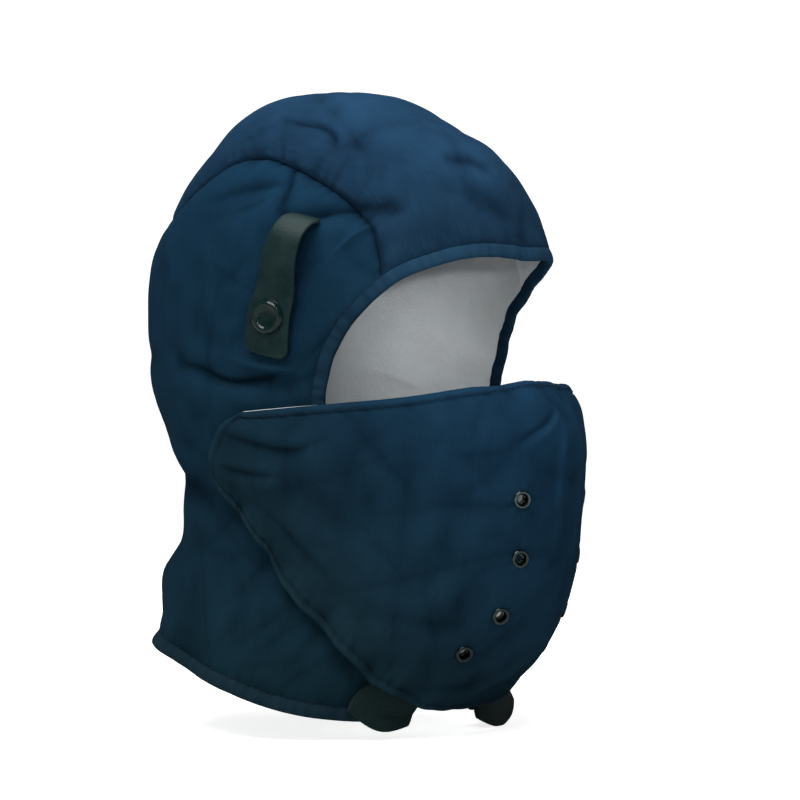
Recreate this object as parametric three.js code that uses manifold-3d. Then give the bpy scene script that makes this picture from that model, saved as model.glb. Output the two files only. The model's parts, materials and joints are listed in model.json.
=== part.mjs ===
// Winter liner worn under a safety helmet: a cotton hood whose cape covers the neck, a face mask that
// wraps round from cheek to cheek, and two snap straps that loop round the helmet's headband.
//
// Millimetres and degrees. +Z is up, the wearer faces -Y and the wearer's right is -X.
// The origin is the top of the hood's inner face, where the hood sits on the head.
import * as THREE from "three";
import { mergeVertices } from "three/addons/utils/BufferGeometryUtils.js";
import Module from "manifold-3d";

const wasm = await Module();
wasm.setup();

// Cloth
const CLOTH_WALL = 2.4; // padded cotton of the hood
const MASK_WALL = 2.0;
const LINING_WALL = 0.9;
const GAP = 0.4; // between neighbouring pieces

// Cape: below the nape the sections rise towards the back, so that the hem runs uphill
const NAPE_DROP = 195;
const HEM_DROP = 286;
const CAPE_RISE = 43;
const CAPE_RISE_POWER = 1.5;

// Hood sections from the crown's outer top down to the hem, each half an ellipse at the front and half
// at the back. width is half the breadth, front and back are the reach from the crown's axis.
const HOOD_SECTIONS = [
  { drop: 0, width: 0, front: 0, back: 0 },
  { drop: 4, width: 28, front: 30, back: 24 },
  { drop: 14, width: 48, front: 53, back: 42 },
  { drop: 30, width: 63, front: 80, back: 55 },
  { drop: 52, width: 74, front: 98, back: 73 },
  { drop: 80, width: 80.5, front: 109, back: 88.5 },
  { drop: 110, width: 83, front: 113, back: 90 },
  { drop: 140, width: 83, front: 112, back: 87 },
  { drop: 168, width: 79, front: 108, back: 77 },
  { drop: 195, width: 73, front: 104, back: 71 },
  { drop: 222, width: 71, front: 98, back: 72 },
  { drop: 248, width: 75, front: 88, back: 81 },
  { drop: 272, width: 79.5, front: 74, back: 81 },
  { drop: HEM_DROP, width: 82, front: 65, back: 83 },
];
const HEM_ROW = HOOD_SECTIONS.length - 1;

// Mask reach in front of the crown's axis. The mask clears the hood by MASK_CLEAR at its sides.
const MASK_CLEAR = 6;
const MASK_FRONTS = [
  { drop: 130, front: 104 },
  { drop: 140, front: 115 },
  { drop: 152, front: 126 },
  { drop: 168, front: 130 },
  { drop: 195, front: 128 },
  { drop: 222, front: 126 },
  { drop: 245, front: 117 },
  { drop: 262, front: 105 },
  { drop: 276, front: 90 },
  { drop: 290, front: 68 },
];

// Seam between the crown panel and a side panel, from the temple over the ear to the centre back.
// Angles turn from the front towards the wearer's right.
const SEAM = [
  { angle: 52, drop: 91 },
  { angle: 52.5, drop: 78 },
  { angle: 54.5, drop: 65 },
  { angle: 61, drop: 53 },
  { angle: 73, drop: 41 },
  { angle: 88, drop: 34 },
  { angle: 103, drop: 36 },
  { angle: 117, drop: 45 },
  { angle: 140, drop: 60 },
  { angle: 180, drop: 72 },
];
const SEAM_END = SEAM.length - 1;
const CROWN_CORNER = 8; // row of SEAM where the crown panel's side turns into its back
const SEAM_PINCH = 2.2; // the stitched seam pulls the cloth in
const SEAM_REACH = 8;
const SEAM_FADE_ROWS = 2; // rows of SEAM over which the pull fades towards the temple

// Edge of the face opening from the middle of the brow, past the temple, down to the cape's front corner
const FACE_EDGE = [
  { angle: 0, drop: 76 },
  { angle: 25, drop: 76 },
  { angle: 41, drop: 82 },
  { angle: 52, drop: 91 },
  { angle: 63, drop: 111 },
  { angle: 68, drop: 133 },
  { angle: 68, drop: 156 },
  { angle: 60, drop: 188 },
  { angle: 46, drop: 223 },
  { angle: 33, drop: 258 },
  { angle: 23, drop: 278 },
  { angle: 20, drop: HEM_DROP },
];
const TEMPLE = 3; // row of FACE_EDGE that meets the start of SEAM
const FACE_EDGE_END = FACE_EDGE.length - 1;

// Rolled edges
const BINDING_WIDTH = 5.5;
const BINDING_THICKNESS = 3.6;
const HEM_WIDTH = 6;
const HEM_THICKNESS = 3.4;

// Outline of the mask's right half
const MASK_TOP = [
  { angle: 0, drop: 137 },
  { angle: 25, drop: 139 },
  { angle: 50, drop: 144.5 },
  { angle: 75, drop: 148.5 },
  { angle: 86.5, drop: 150.5 },
];
const MASK_END = [
  { angle: 86.5, drop: 150.5 },
  { angle: 93, drop: 157.5 },
  { angle: 98, drop: 168.5 },
  { angle: 99, drop: 181 },
];
const MASK_LOW = [
  { angle: 0, drop: 287 },
  { angle: 20, drop: 285 },
  { angle: 41, drop: 275 },
  { angle: 54, drop: 262 },
  { angle: 66, drop: 245 },
  { angle: 77, drop: 229 },
  { angle: 83, drop: 213 },
  { angle: 90, drop: 196.5 },
  { angle: 99, drop: 181 },
];
const LINING_SHOWS = 1.3; // the pale lining stands out round the mask's upper edge and ends

// Folds: a groove or ridge along a straight line between two places, fading out at both ends.
// depth is negative inwards, and lean tips the profile into a ridge on one side of the groove.
const HOOD_FOLDS = [
  { angle: 77, drop: 38, toAngle: 77, toDrop: 60, width: 5, depth: -2.2, lean: 0.5 },
  { angle: 66, drop: 63, toAngle: 44, toDrop: 60, width: 7, depth: -3.0, lean: -0.8 },
  { angle: 104, drop: 58, toAngle: 80, toDrop: 48, width: 7, depth: -2.4, lean: 0.7 },
  { angle: 64, drop: 79, toAngle: 52, toDrop: 67, width: 6, depth: 1.6, lean: 0 },
  { angle: 112, drop: 126, toAngle: 75, toDrop: 136, width: 6, depth: -2.6, lean: 0.9 },
  { angle: 18, drop: 52, toAngle: 4, toDrop: 60, width: 8, depth: -2.2, lean: 0.5 },
  { angle: 72, drop: 14, toAngle: 44, toDrop: 30, width: 9, depth: -1.8, lean: 0.6 },
  { angle: 150, drop: 178, toAngle: 95, toDrop: 192, width: 12, depth: -2.2, lean: 0.3 },
];
const MASK_FOLD_RADIUS = 100; // turns degrees into millimetres for the folds of the mask
const MASK_FOLDS = [
  { angle: 92, drop: 155, toAngle: 70, toDrop: 165, width: 7, depth: 1.8, lean: 0.3 },
  { angle: 97, drop: 173, toAngle: 80, toDrop: 178, width: 7, depth: 1.5, lean: 0.3 },
  { angle: 22, drop: 163, toAngle: 7, toDrop: 146, width: 6, depth: 2.2, lean: 0.6 },
];

// Strap centre line from the slit that it comes out of to its free end. lift is the clear height under
// the strap.
const STRAP = [
  { angle: 69.5, drop: 64.5, width: 19.5, lift: 0.5 },
  { angle: 70.5, drop: 67, width: 19.5, lift: 5.6 },
  { angle: 72.5, drop: 73, width: 19, lift: 8.4 },
  { angle: 75.2, drop: 83.5, width: 18.5, lift: 7.4 },
  { angle: 77, drop: 96, width: 19.5, lift: 4.6 },
  { angle: 79.3, drop: 108, width: 21.5, lift: 3 },
  { angle: 80.2, drop: 125, width: 22.5, lift: 1.6 },
];
const STRAP_SNAP = 5; // row of STRAP that carries the snap
const STRAP_WALL = 1.6;

// Snap: a dished cap outside the strap, and a plain socket between the strap and the cloth
const SNAP_CAP_PROFILE = [
  { radius: 0, height: 0 },
  { radius: 7.6, height: 0 },
  { radius: 7.8, height: 0.8 },
  { radius: 6.6, height: 2.4 },
  { radius: 5.2, height: 2.5 },
  { radius: 4.4, height: 1.8 },
  { radius: 0, height: 1.8 },
];
const SNAP_SIDES = 16;
const SOCKET_RADIUS = 5;
const SOCKET_SEAT = 0.65; // clear of the curved cloth under it
const SOCKET_SIDES = 12;

// Eyelets, four on each half of the mask, with a flange outside and a barrel through mask and lining
const EYELETS = [
  { angle: 19.8, drop: 189 },
  { angle: 19.5, drop: 215.5 },
  { angle: 21, drop: 241 },
  { angle: 25.5, drop: 258.5 },
];
const EYELET_PROFILE = [
  { radius: 1.9, height: -4.2 },
  { radius: 2.5, height: -4.2 },
  { radius: 2.5, height: 0.3 },
  { radius: 4.0, height: 0.3 },
  { radius: 3.2, height: 1.3 },
  { radius: 1.9, height: 0.9 },
  { radius: 1.9, height: -4.2 },
];
const EYELET_SIDES = 8;
const EYELET_HOLE = 3.1;
const HOLE_DEPTH = 14;

// Chin tab on the cape's front corner. The left one's outer corner stands away from the cape.
const TAB_TOP = [
  { angle: 41, drop: 267 },
  { angle: 30, drop: 269 },
  { angle: 20, drop: 271 },
];
const TAB_LOW = [
  { angle: 48, drop: 286 },
  { angle: 34, drop: 294 },
  { angle: 20, drop: 293 },
];
const TAB_WALL = 1.8;
const TAB_CLEAR = 1.2;
const TAB_FLARE = { right: 0, left: 13 };

// Fastening patch between the lining and the side panel, under each end of the mask
const PATCH = { fromAngle: 80, toAngle: 91, fromDrop: 162, toDrop: 186 };
const PATCH_WALL = 1.6;
const PATCH_GAP = 0.6;

// Grid steps of the faceted walls
const CROWN_COLUMNS = 14;
const CROWN_ROWS = 15;
const SIDE_COLUMNS = CROWN_ROWS + CROWN_COLUMNS / 2; // the two panels share their grid lines at the seam
const SIDE_ROWS = 16;
const MASK_COLUMNS = 18;
const MASK_ROWS = 11;
const STRAP_COLUMNS = 2;
const STRAP_STEPS = 14;
const TAB_COLUMNS = 6;
const TAB_ROWS = 4;
const PATCH_STEPS = 3;
const ROLL_SIDES = 6;

// Rough arc lengths that turn a gap in millimetres into a step of a panel's own 0 to 1 coordinates
const CROWN_ARC = 180;
const SIDE_ARC = 220;

const RIGHT = 1;
const LEFT = -1;
const BACK = 180; // angle of the centre back
const STEP = 1e-3; // small step for slopes
const HALVINGS = 40; // steps of the search for a row
const MERGE_GAP = 1e-4; // vertices nearer than this are one

const COTTON = { color: 0x16304a, roughness: 0.92, metalness: 0 };
const CROWN_COTTON = { color: 0x24415f, roughness: 0.92, metalness: 0 };
const EDGE_COTTON = { color: 0x203a54, roughness: 0.9, metalness: 0 };
const PALE_LINING = { color: 0x8d9aa3, roughness: 0.95, metalness: 0 };
const BLACK_STRAP = { color: 0x1a2626, roughness: 0.45, metalness: 0 };
const BLACK_FELT = { color: 0x111c1d, roughness: 0.98, metalness: 0 };
const BLACK_ENAMEL = { color: 0x16201f, roughness: 0.25, metalness: 0.6 };
const DULL_METAL = { color: 0x6d716c, roughness: 0.4, metalness: 0.9 };

const radians = THREE.MathUtils.degToRad;
const lerp = THREE.MathUtils.lerp;
const clamp = THREE.MathUtils.clamp;

// Tables

/** One column at a fractional row, on a Catmull-Rom curve. before stands in for the row above the first. */
function columnAt(table, column, at, before) {
  const last = table.length - 1;
  const i = clamp(Math.floor(at), 0, last - 1);
  const t = at - i;
  const b = table[i][column];
  const c = table[i + 1][column];
  const a = i > 0 ? table[i - 1][column] : before ?? 2 * b - c;
  const d = i + 2 <= last ? table[i + 2][column] : 2 * c - b;
  return b + 0.5 * t * (c - a + t * (2 * a - 5 * b + 4 * c - d + t * (3 * (b - c) + d - a)));
}

/** Fractional row where a rising column reaches a value. */
function rowWhere(table, column, value, before) {
  let low = 0;
  let high = table.length - 1;
  for (let i = 0; i < HALVINGS; i += 1) {
    const middle = (low + high) / 2;
    if (columnAt(table, column, middle, before) < value) low = middle;
    else high = middle;
  }
  return (low + high) / 2;
}

/** Place on an edge table, as angle and drop. */
function edgeAt(table, at) {
  return { angle: columnAt(table, "angle", at), drop: columnAt(table, "drop", at) };
}

// Hood surface

/** Hood section at a fractional row. Past the crown's top the table is its own mirror image. */
function hoodSection(row) {
  const next = HOOD_SECTIONS[1];
  return {
    drop: columnAt(HOOD_SECTIONS, "drop", row, next.drop),
    width: columnAt(HOOD_SECTIONS, "width", row, -next.width),
    front: columnAt(HOOD_SECTIONS, "front", row, -next.front),
    back: columnAt(HOOD_SECTIONS, "back", row, -next.back),
  };
}

const hoodRow = (drop) => rowWhere(HOOD_SECTIONS, "drop", drop, HOOD_SECTIONS[1].drop);

/** Smooth outer face of the hood at an angle and a row. */
function hoodForm(angle, row) {
  const section = hoodSection(row);
  const c = Math.cos(radians(angle));
  const cape = clamp((section.drop - NAPE_DROP) / (HEM_DROP - NAPE_DROP), 0, 1);
  const rise = CAPE_RISE * cape * ((1 - c) / 2) ** CAPE_RISE_POWER;
  return new THREE.Vector3(
    -section.width * Math.sin(radians(angle)),
    -(c > 0 ? section.front : section.back) * c,
    CLOTH_WALL - section.drop + rise,
  );
}

/** Hood places lie on a flat chart whose radius is the row, so that the crown's top is a plain point. */
function toChart({ angle, drop }) {
  const row = hoodRow(drop);
  return [row * Math.sin(radians(angle)), row * Math.cos(radians(angle))];
}

const fromChart = (x, y) => [THREE.MathUtils.radToDeg(Math.atan2(x, y)), Math.hypot(x, y)];

/** Outward unit normal of the smooth hood. */
function hoodNormal(angle, row) {
  const x = row * Math.sin(radians(angle));
  const y = row * Math.cos(radians(angle));
  const here = hoodForm(...fromChart(x, y));
  const across = hoodForm(...fromChart(x + STEP, y)).sub(here);
  const along = hoodForm(...fromChart(x, y + STEP)).sub(here);
  return across.cross(along).normalize();
}

/** Height of the folds at a place: a bell across each fold line, tipped by lean, faded along it. */
function foldHeight(folds, angle, drop, millimetresPerDegree) {
  let height = 0;
  for (const fold of folds) {
    const lineX = (fold.toAngle - fold.angle) * millimetresPerDegree;
    const lineY = fold.toDrop - fold.drop;
    const length = Math.hypot(lineX, lineY);
    const x = (angle - fold.angle) * millimetresPerDegree;
    const y = drop - fold.drop;
    const along = (x * lineX + y * lineY) / length;
    const across = (x * lineY - y * lineX) / length / fold.width;
    const past = Math.max(0, -along, along - length) / fold.width;
    height += fold.depth * Math.exp(-across * across - past * past) * (1 + fold.lean * across);
  }
  return height;
}

/** Outer face of the hood with its folds, at a depth below that face. pinch pulls a seam inwards. */
function hoodSkin(angle, row, depth, pinch = 0) {
  const section = hoodSection(row);
  const scale = radians(1) * (section.width + section.front) / 2;
  const height = foldHeight(HOOD_FOLDS, Math.abs(angle), section.drop, scale);
  return hoodForm(angle, row).addScaledVector(hoodNormal(angle, row), height - pinch - depth);
}

/** Depth of the pull at a distance from the seam, fading to nothing at the temple. */
function seamPinch(distance, seamRow) {
  return SEAM_PINCH * Math.exp(-((distance / SEAM_REACH) ** 2)) * clamp(seamRow / SEAM_FADE_ROWS, 0, 1);
}

// Mask surface

const maskFront = (drop) => columnAt(MASK_FRONTS, "front", rowWhere(MASK_FRONTS, "drop", drop));

/** Smooth outer face of the mask: clear of the hood at the sides, full reach at the front. */
function maskForm(angle, drop) {
  const section = hoodSection(hoodRow(drop));
  const c = Math.cos(radians(angle));
  const side = section.front + MASK_CLEAR;
  const front = side + (maskFront(drop) - side) * c * c;
  return new THREE.Vector3(
    -(section.width + MASK_CLEAR) * Math.sin(radians(angle)),
    -(c > 0 ? front : section.back + MASK_CLEAR) * c,
    CLOTH_WALL - drop,
  );
}

function maskNormal(angle, drop) {
  const here = maskForm(angle, drop);
  const across = maskForm(angle + STEP, drop).sub(here);
  const down = maskForm(angle, drop + STEP).sub(here);
  return across.cross(down).normalize();
}

/** Outer face of the mask with its folds, at a depth below that face. */
function maskSkin(angle, drop, depth) {
  const height = foldHeight(MASK_FOLDS, Math.abs(angle), drop, radians(MASK_FOLD_RADIUS));
  return maskForm(angle, drop).addScaledVector(maskNormal(angle, drop), height - depth);
}

// Solids

/** Coons patch: the place at (s, t) between four edges of a flat chart that meet at their ends. */
function coons(top, low, start, end) {
  return (s, t) => [0, 1].map((k) => {
    const between = lerp(top(s)[k], low(s)[k], t) + lerp(start(t)[k], end(t)[k], s);
    return between - lerp(lerp(top(0)[k], top(1)[k], s), lerp(low(0)[k], low(1)[k], s), t);
  });
}

/** Geometry of a closed body from points and faces, turned so that its faces point out. */
function closedBody(points, faces) {
  let volume = 0;
  for (const [a, b, c] of faces) {
    volume += points[a].dot(points[b].clone().cross(points[c]));
  }
  const outward = volume > 0 ? faces : faces.map(([a, b, c]) => [a, c, b]);
  const geometry = new THREE.BufferGeometry().setFromPoints(points);
  geometry.setIndex(outward.flat());
  geometry.computeVertexNormals();
  return geometry;
}

const quad = (a, b, c, d) => [[a, b, c], [a, c, d]];

/** Wall over a surface(s, t, depth): a grid on each face and a rim that joins their edges. */
function wall(surface, columns, rows, outerDepth, innerDepth) {
  const points = [];
  for (const depth of [outerDepth, innerDepth]) {
    for (let j = 0; j <= rows; j += 1) {
      for (let i = 0; i <= columns; i += 1) points.push(surface(i / columns, j / rows, depth));
    }
  }
  const layer = (columns + 1) * (rows + 1);
  const id = (i, j) => j * (columns + 1) + i;
  const faces = [];
  for (let j = 0; j < rows; j += 1) {
    for (let i = 0; i < columns; i += 1) {
      const outer = quad(id(i, j), id(i + 1, j), id(i + 1, j + 1), id(i, j + 1));
      const inner = outer.map(([a, b, c]) => [a + layer, c + layer, b + layer]);
      faces.push(...outer, ...inner);
    }
  }
  const rim = [];
  for (let i = 0; i < columns; i += 1) rim.push(id(i, 0));
  for (let j = 0; j < rows; j += 1) rim.push(id(columns, j));
  for (let i = columns; i > 0; i -= 1) rim.push(id(i, rows));
  for (let j = rows; j > 0; j -= 1) rim.push(id(0, j));
  rim.forEach((a, k) => {
    const b = rim[(k + 1) % rim.length];
    faces.push(...quad(a, a + layer, b + layer, b));
  });
  return closedBody(points, faces);
}

/** Rolled edge: an oval section carried along places on a panel's edge, on the side that away says. */
function roll(places, width, thickness, away) {
  const edge = places.map(([angle, row]) => hoodSkin(angle, row, 0));
  const points = [];
  places.forEach(([angle, row], i) => {
    const normal = hoodNormal(angle, row);
    const tangent = edge[Math.min(i + 1, edge.length - 1)].clone().sub(edge[Math.max(i - 1, 0)]);
    const out = tangent.cross(normal).normalize().multiplyScalar(away);
    const centre = edge[i].clone()
      .addScaledVector(out, width / 2 + GAP)
      .addScaledVector(normal, -CLOTH_WALL / 2);
    for (let k = 0; k < ROLL_SIDES; k += 1) {
      const turn = (2 * Math.PI * k) / ROLL_SIDES;
      points.push(centre.clone()
        .addScaledVector(out, (width / 2) * Math.cos(turn))
        .addScaledVector(normal, (thickness / 2) * Math.sin(turn)));
    }
  });
  const faces = [];
  const last = (places.length - 1) * ROLL_SIDES;
  for (let i = 0; i < places.length - 1; i += 1) {
    for (let k = 0; k < ROLL_SIDES; k += 1) {
      const a = i * ROLL_SIDES + k;
      const b = i * ROLL_SIDES + ((k + 1) % ROLL_SIDES);
      faces.push(...quad(a, a + ROLL_SIDES, b + ROLL_SIDES, b));
    }
  }
  for (let k = 1; k < ROLL_SIDES - 1; k += 1) {
    faces.push([0, k, k + 1]);
    faces.push([last, last + k + 1, last + k]);
  }
  return closedBody(points, faces);
}

/** Turned body about +Y from a radius and height profile. */
function turned(profile, sides) {
  const outline = profile.map(({ radius, height }) => new THREE.Vector2(radius, height));
  return new THREE.LatheGeometry(outline, sides);
}

/** Same geometry with its doubled vertices joined, and only positions left. */
function joined(geometry) {
  const bare = geometry.clone();
  bare.deleteAttribute("normal");
  bare.deleteAttribute("uv");
  return mergeVertices(bare, MERGE_GAP);
}

function toManifold(geometry) {
  const bare = joined(geometry);
  const vertProperties = new Float32Array(bare.getAttribute("position").array);
  const triVerts = new Uint32Array(bare.getIndex().array);
  return new wasm.Manifold(new wasm.Mesh({ numProp: 3, vertProperties, triVerts }));
}

function fromManifold(solid) {
  const { vertProperties, triVerts } = solid.getMesh();
  const geometry = new THREE.BufferGeometry();
  geometry.setAttribute("position", new THREE.BufferAttribute(new Float32Array(vertProperties), 3));
  geometry.setIndex(new THREE.BufferAttribute(new Uint32Array(triVerts), 1));
  geometry.computeVertexNormals();
  return geometry;
}

/** Stand a turned body on a point, with its axis along a direction. */
function stand(object, point, direction) {
  object.position.copy(point);
  object.quaternion.setFromUnitVectors(new THREE.Vector3(0, 1, 0), direction);
  return object;
}

const sideName = (side) => (side === RIGHT ? "right" : "left");

function named(name, geometry, finish) {
  const mesh = new THREE.Mesh(geometry, new THREE.MeshStandardMaterial(finish));
  mesh.name = name;
  return mesh;
}

// Hood pieces

/** Crown panel: a patch of the chart between the brow, the two seams and the back. */
function crownPanel() {
  const mirrored = (place, side) => toChart({ angle: side * place.angle, drop: place.drop });
  const brow = (s) => mirrored(edgeAt(FACE_EDGE, TEMPLE * Math.abs(1 - 2 * s)), s < 0.5 ? RIGHT : LEFT);
  const backRow = (s) => SEAM_END - (SEAM_END - CROWN_CORNER) * Math.abs(1 - 2 * s);
  const back = (s) => mirrored(edgeAt(SEAM, backRow(s)), s < 0.5 ? RIGHT : LEFT);
  const seam = (side) => (t) => mirrored(edgeAt(SEAM, CROWN_CORNER * t), side);
  const patch = coons(brow, back, seam(RIGHT), seam(LEFT));
  const inset = GAP / 2 / CROWN_ARC;
  const surface = (s, t, depth) => {
    const across = lerp(inset, 1 - inset, s);
    const along = lerp(0, 1 - inset, t);
    const fromSide = CROWN_ARC * Math.min(across, 1 - across);
    const fromBack = CROWN_ARC * (1 - along);
    const pinch = Math.max(seamPinch(fromSide, CROWN_CORNER * along), seamPinch(fromBack, SEAM_END));
    return hoodSkin(...fromChart(...patch(across, along)), depth, pinch);
  };
  return named("crown_panel", wall(surface, CROWN_COLUMNS, CROWN_ROWS, 0, CLOTH_WALL), CROWN_COTTON);
}

/** Row of SEAM at a side panel's column, in step with the crown panel's own grid lines. */
function seamRow(s) {
  const corner = CROWN_ROWS / SIDE_COLUMNS;
  if (s < corner) return (CROWN_CORNER * s) / corner;
  return lerp(CROWN_CORNER, SEAM_END, (s - corner) / (1 - corner));
}

/** Places, as angle and row, along the seam, the hem and the side panel's front and back edges. */
const onSeam = (s) => {
  const { angle, drop } = edgeAt(SEAM, seamRow(s));
  return [angle, hoodRow(drop)];
};
const onHem = (s) => [lerp(FACE_EDGE[FACE_EDGE_END].angle, BACK, s), HEM_ROW];
const onFront = (t) => {
  const { angle, drop } = edgeAt(FACE_EDGE, lerp(TEMPLE, FACE_EDGE_END, t));
  return [angle, hoodRow(drop)];
};
const onBack = (t) => [BACK, lerp(onSeam(1)[1], HEM_ROW, t)];

/** Side panel with its half of the cape, from the seam down to the hem. */
function sidePanel(side) {
  const patch = coons(onSeam, onHem, onFront, onBack);
  const inset = GAP / 2 / SIDE_ARC;
  const surface = (s, t, depth) => {
    const across = lerp(0, 1 - inset, s);
    const along = lerp(inset, 1, t);
    const [angle, row] = patch(across, along);
    return hoodSkin(side * angle, row, depth, seamPinch(SIDE_ARC * along, seamRow(across)));
  };
  const body = wall(surface, SIDE_COLUMNS, SIDE_ROWS, 0, CLOTH_WALL);
  return named(`side_panel_${sideName(side)}`, body, COTTON);
}

/** A run from the left end to the right one. The first place is the middle, the rest are mirrored. */
function bothSides(places) {
  const left = places.slice(1).map(([angle, row]) => [-angle, row]).reverse();
  return [...left, ...places];
}

function faceBinding() {
  const places = [];
  for (let i = 0; i <= CROWN_COLUMNS / 2; i += 1) {
    const { angle, drop } = edgeAt(FACE_EDGE, (TEMPLE * i) / (CROWN_COLUMNS / 2));
    places.push([angle, hoodRow(drop)]);
  }
  for (let j = 1; j <= SIDE_ROWS; j += 1) places.push(onFront(j / SIDE_ROWS));
  return named("face_binding", roll(bothSides(places), BINDING_WIDTH, BINDING_THICKNESS, -1), EDGE_COTTON);
}

function neckHem() {
  const places = [];
  for (let i = SIDE_COLUMNS; i >= 0; i -= 1) places.push(onHem(i / SIDE_COLUMNS));
  return named("neck_hem", roll(bothSides(places), HEM_WIDTH, HEM_THICKNESS, 1), EDGE_COTTON);
}

// Straps

/** Frame of the strap at a fractional row: middle of its inner face and its direction across. */
function strapFrame(at, side) {
  const middle = (row) => {
    const { angle, drop } = edgeAt(STRAP, row);
    const lift = columnAt(STRAP, "lift", row);
    return hoodForm(side * angle, hoodRow(drop)).addScaledVector(
      hoodNormal(side * angle, hoodRow(drop)), lift);
  };
  const { angle, drop } = edgeAt(STRAP, at);
  const normal = hoodNormal(side * angle, hoodRow(drop));
  const end = STRAP.length - 1;
  const run = hoodForm(side * STRAP[end].angle, hoodRow(STRAP[end].drop))
    .sub(hoodForm(side * STRAP[0].angle, hoodRow(STRAP[0].drop)));
  const across = run.cross(normal).normalize();
  const along = middle(Math.min(at + STEP, end)).sub(middle(Math.max(at - STEP, 0))).normalize();
  return { middle: middle(at), across, outward: across.clone().cross(along).normalize() };
}

function strap(side) {
  const end = STRAP.length - 1;
  const surface = (s, t, depth) => {
    const { middle, across, outward } = strapFrame(end * t, side);
    const width = columnAt(STRAP, "width", end * t);
    return middle.addScaledVector(across, width * (s - 0.5)).addScaledVector(outward, -depth);
  };
  const body = wall(surface, STRAP_COLUMNS, STRAP_STEPS, -STRAP_WALL, 0);
  return named(`strap_${sideName(side)}`, body, BLACK_STRAP);
}

function snapCap(side) {
  const { middle, outward } = strapFrame(STRAP_SNAP, side);
  const seat = middle.addScaledVector(outward, STRAP_WALL + GAP);
  const cap = named(`snap_cap_${sideName(side)}`, turned(SNAP_CAP_PROFILE, SNAP_SIDES), BLACK_ENAMEL);
  return stand(cap, seat, outward);
}

function snapSocket(side) {
  const { middle, outward } = strapFrame(STRAP_SNAP, side);
  const height = STRAP[STRAP_SNAP].lift - GAP - SOCKET_SEAT;
  const body = new THREE.CylinderGeometry(SOCKET_RADIUS, SOCKET_RADIUS, height, SOCKET_SIDES);
  const socket = named(`snap_socket_${sideName(side)}`, body, BLACK_ENAMEL);
  return stand(socket, middle.addScaledVector(outward, -GAP - height / 2), outward);
}

// Mask

/** Patch of the mask's outline, 0 to 1 from the left end to the right one. grow moves its
 * upper edge and its ends out. */
function maskPatch(grow) {
  const place = ({ angle, drop }) => [angle, drop];
  const topEnd = MASK_TOP.length - 1;
  const sideEnd = MASK_END.length - 1;
  const lowEnd = MASK_LOW.length - 1;
  const half = coons(
    (s) => place(edgeAt(MASK_TOP, topEnd * s)),
    (s) => place(edgeAt(MASK_LOW, lowEnd * s)),
    (t) => [0, lerp(MASK_TOP[0].drop, MASK_LOW[0].drop, t)],
    (t) => place(edgeAt(MASK_END, sideEnd * t)),
  );
  return (s, t) => {
    const fromMiddle = Math.abs(2 * s - 1);
    const [angle, drop] = half(fromMiddle, t);
    const further = fromMiddle === 1 ? grow : 0;
    const higher = t === 0 ? grow : 0;
    return [Math.sign(s - 0.5) * (angle + further), drop - higher];
  };
}

/** Stand an object on the mask's outer face at a place on one side. */
function standOnMask(object, side, { angle, drop }) {
  return stand(object, maskSkin(side * angle, drop, 0), maskNormal(side * angle, drop));
}

/** Holes for the eyelet barrels, cut through a mask piece. */
function pierced(geometry) {
  let solid = toManifold(geometry);
  for (const side of [RIGHT, LEFT]) {
    for (const eyelet of EYELETS) {
      const drill = new THREE.CylinderGeometry(EYELET_HOLE, EYELET_HOLE, HOLE_DEPTH, EYELET_SIDES);
      const tool = standOnMask(new THREE.Object3D(), side, eyelet);
      tool.updateMatrix();
      solid = solid.subtract(toManifold(drill.applyMatrix4(tool.matrix)));
    }
  }
  return fromManifold(solid);
}

function maskPanel() {
  const patch = maskPatch(0);
  const surface = (s, t, depth) => maskSkin(...patch(s, t), depth);
  return named("mask_panel", pierced(wall(surface, MASK_COLUMNS, MASK_ROWS, 0, MASK_WALL)), COTTON);
}

function maskLining() {
  const patch = maskPatch(LINING_SHOWS);
  const surface = (s, t, depth) => maskSkin(...patch(s, t), depth);
  const outer = MASK_WALL + GAP;
  const body = wall(surface, MASK_COLUMNS, MASK_ROWS, outer, outer + LINING_WALL);
  return named("mask_lining", pierced(body), PALE_LINING);
}

function eyelet(side, index) {
  const name = `eyelet_${sideName(side)}_${index + 1}`;
  const ring = named(name, turned(EYELET_PROFILE, EYELET_SIDES), DULL_METAL);
  return standOnMask(ring, side, EYELETS[index]);
}

// Tabs and patches on the cape

/** Chin tab: it follows the cape and hangs straight down below the hem. */
function chinTab(side) {
  const last = TAB_TOP.length - 1;
  const flare = TAB_FLARE[sideName(side)];
  const surface = (s, t, depth) => {
    const top = edgeAt(TAB_TOP, last * s);
    const low = edgeAt(TAB_LOW, last * s);
    const drop = lerp(top.drop, low.drop, t);
    const angle = side * lerp(top.angle, low.angle, t);
    const below = Math.max(0, drop - HEM_DROP);
    const row = hoodRow(drop - below);
    const lift = TAB_CLEAR + flare * t ** 3 * (1 - s);
    return hoodForm(angle, row)
      .addScaledVector(hoodNormal(angle, row), lift - depth)
      .add(new THREE.Vector3(0, 0, -below));
  };
  const body = wall(surface, TAB_COLUMNS, TAB_ROWS, -TAB_WALL, 0);
  return named(`chin_tab_${sideName(side)}`, body, BLACK_FELT);
}

function maskFastener(side) {
  const surface = (s, t, depth) => {
    const angle = side * lerp(PATCH.fromAngle, PATCH.toAngle, s);
    return hoodSkin(angle, hoodRow(lerp(PATCH.fromDrop, PATCH.toDrop, t)), depth);
  };
  const body = wall(surface, PATCH_STEPS, PATCH_STEPS, -PATCH_GAP - PATCH_WALL, -PATCH_GAP);
  return named(`mask_fastener_${sideName(side)}`, body, BLACK_FELT);
}

const liner = new THREE.Group();
liner.add(crownPanel(), faceBinding(), neckHem(), maskPanel(), maskLining());
for (const side of [RIGHT, LEFT]) {
  liner.add(sidePanel(side), strap(side), snapCap(side), snapSocket(side));
  liner.add(chinTab(side), maskFastener(side));
  EYELETS.forEach((_, index) => liner.add(eyelet(side, index)));
}

export default liner;
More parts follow.
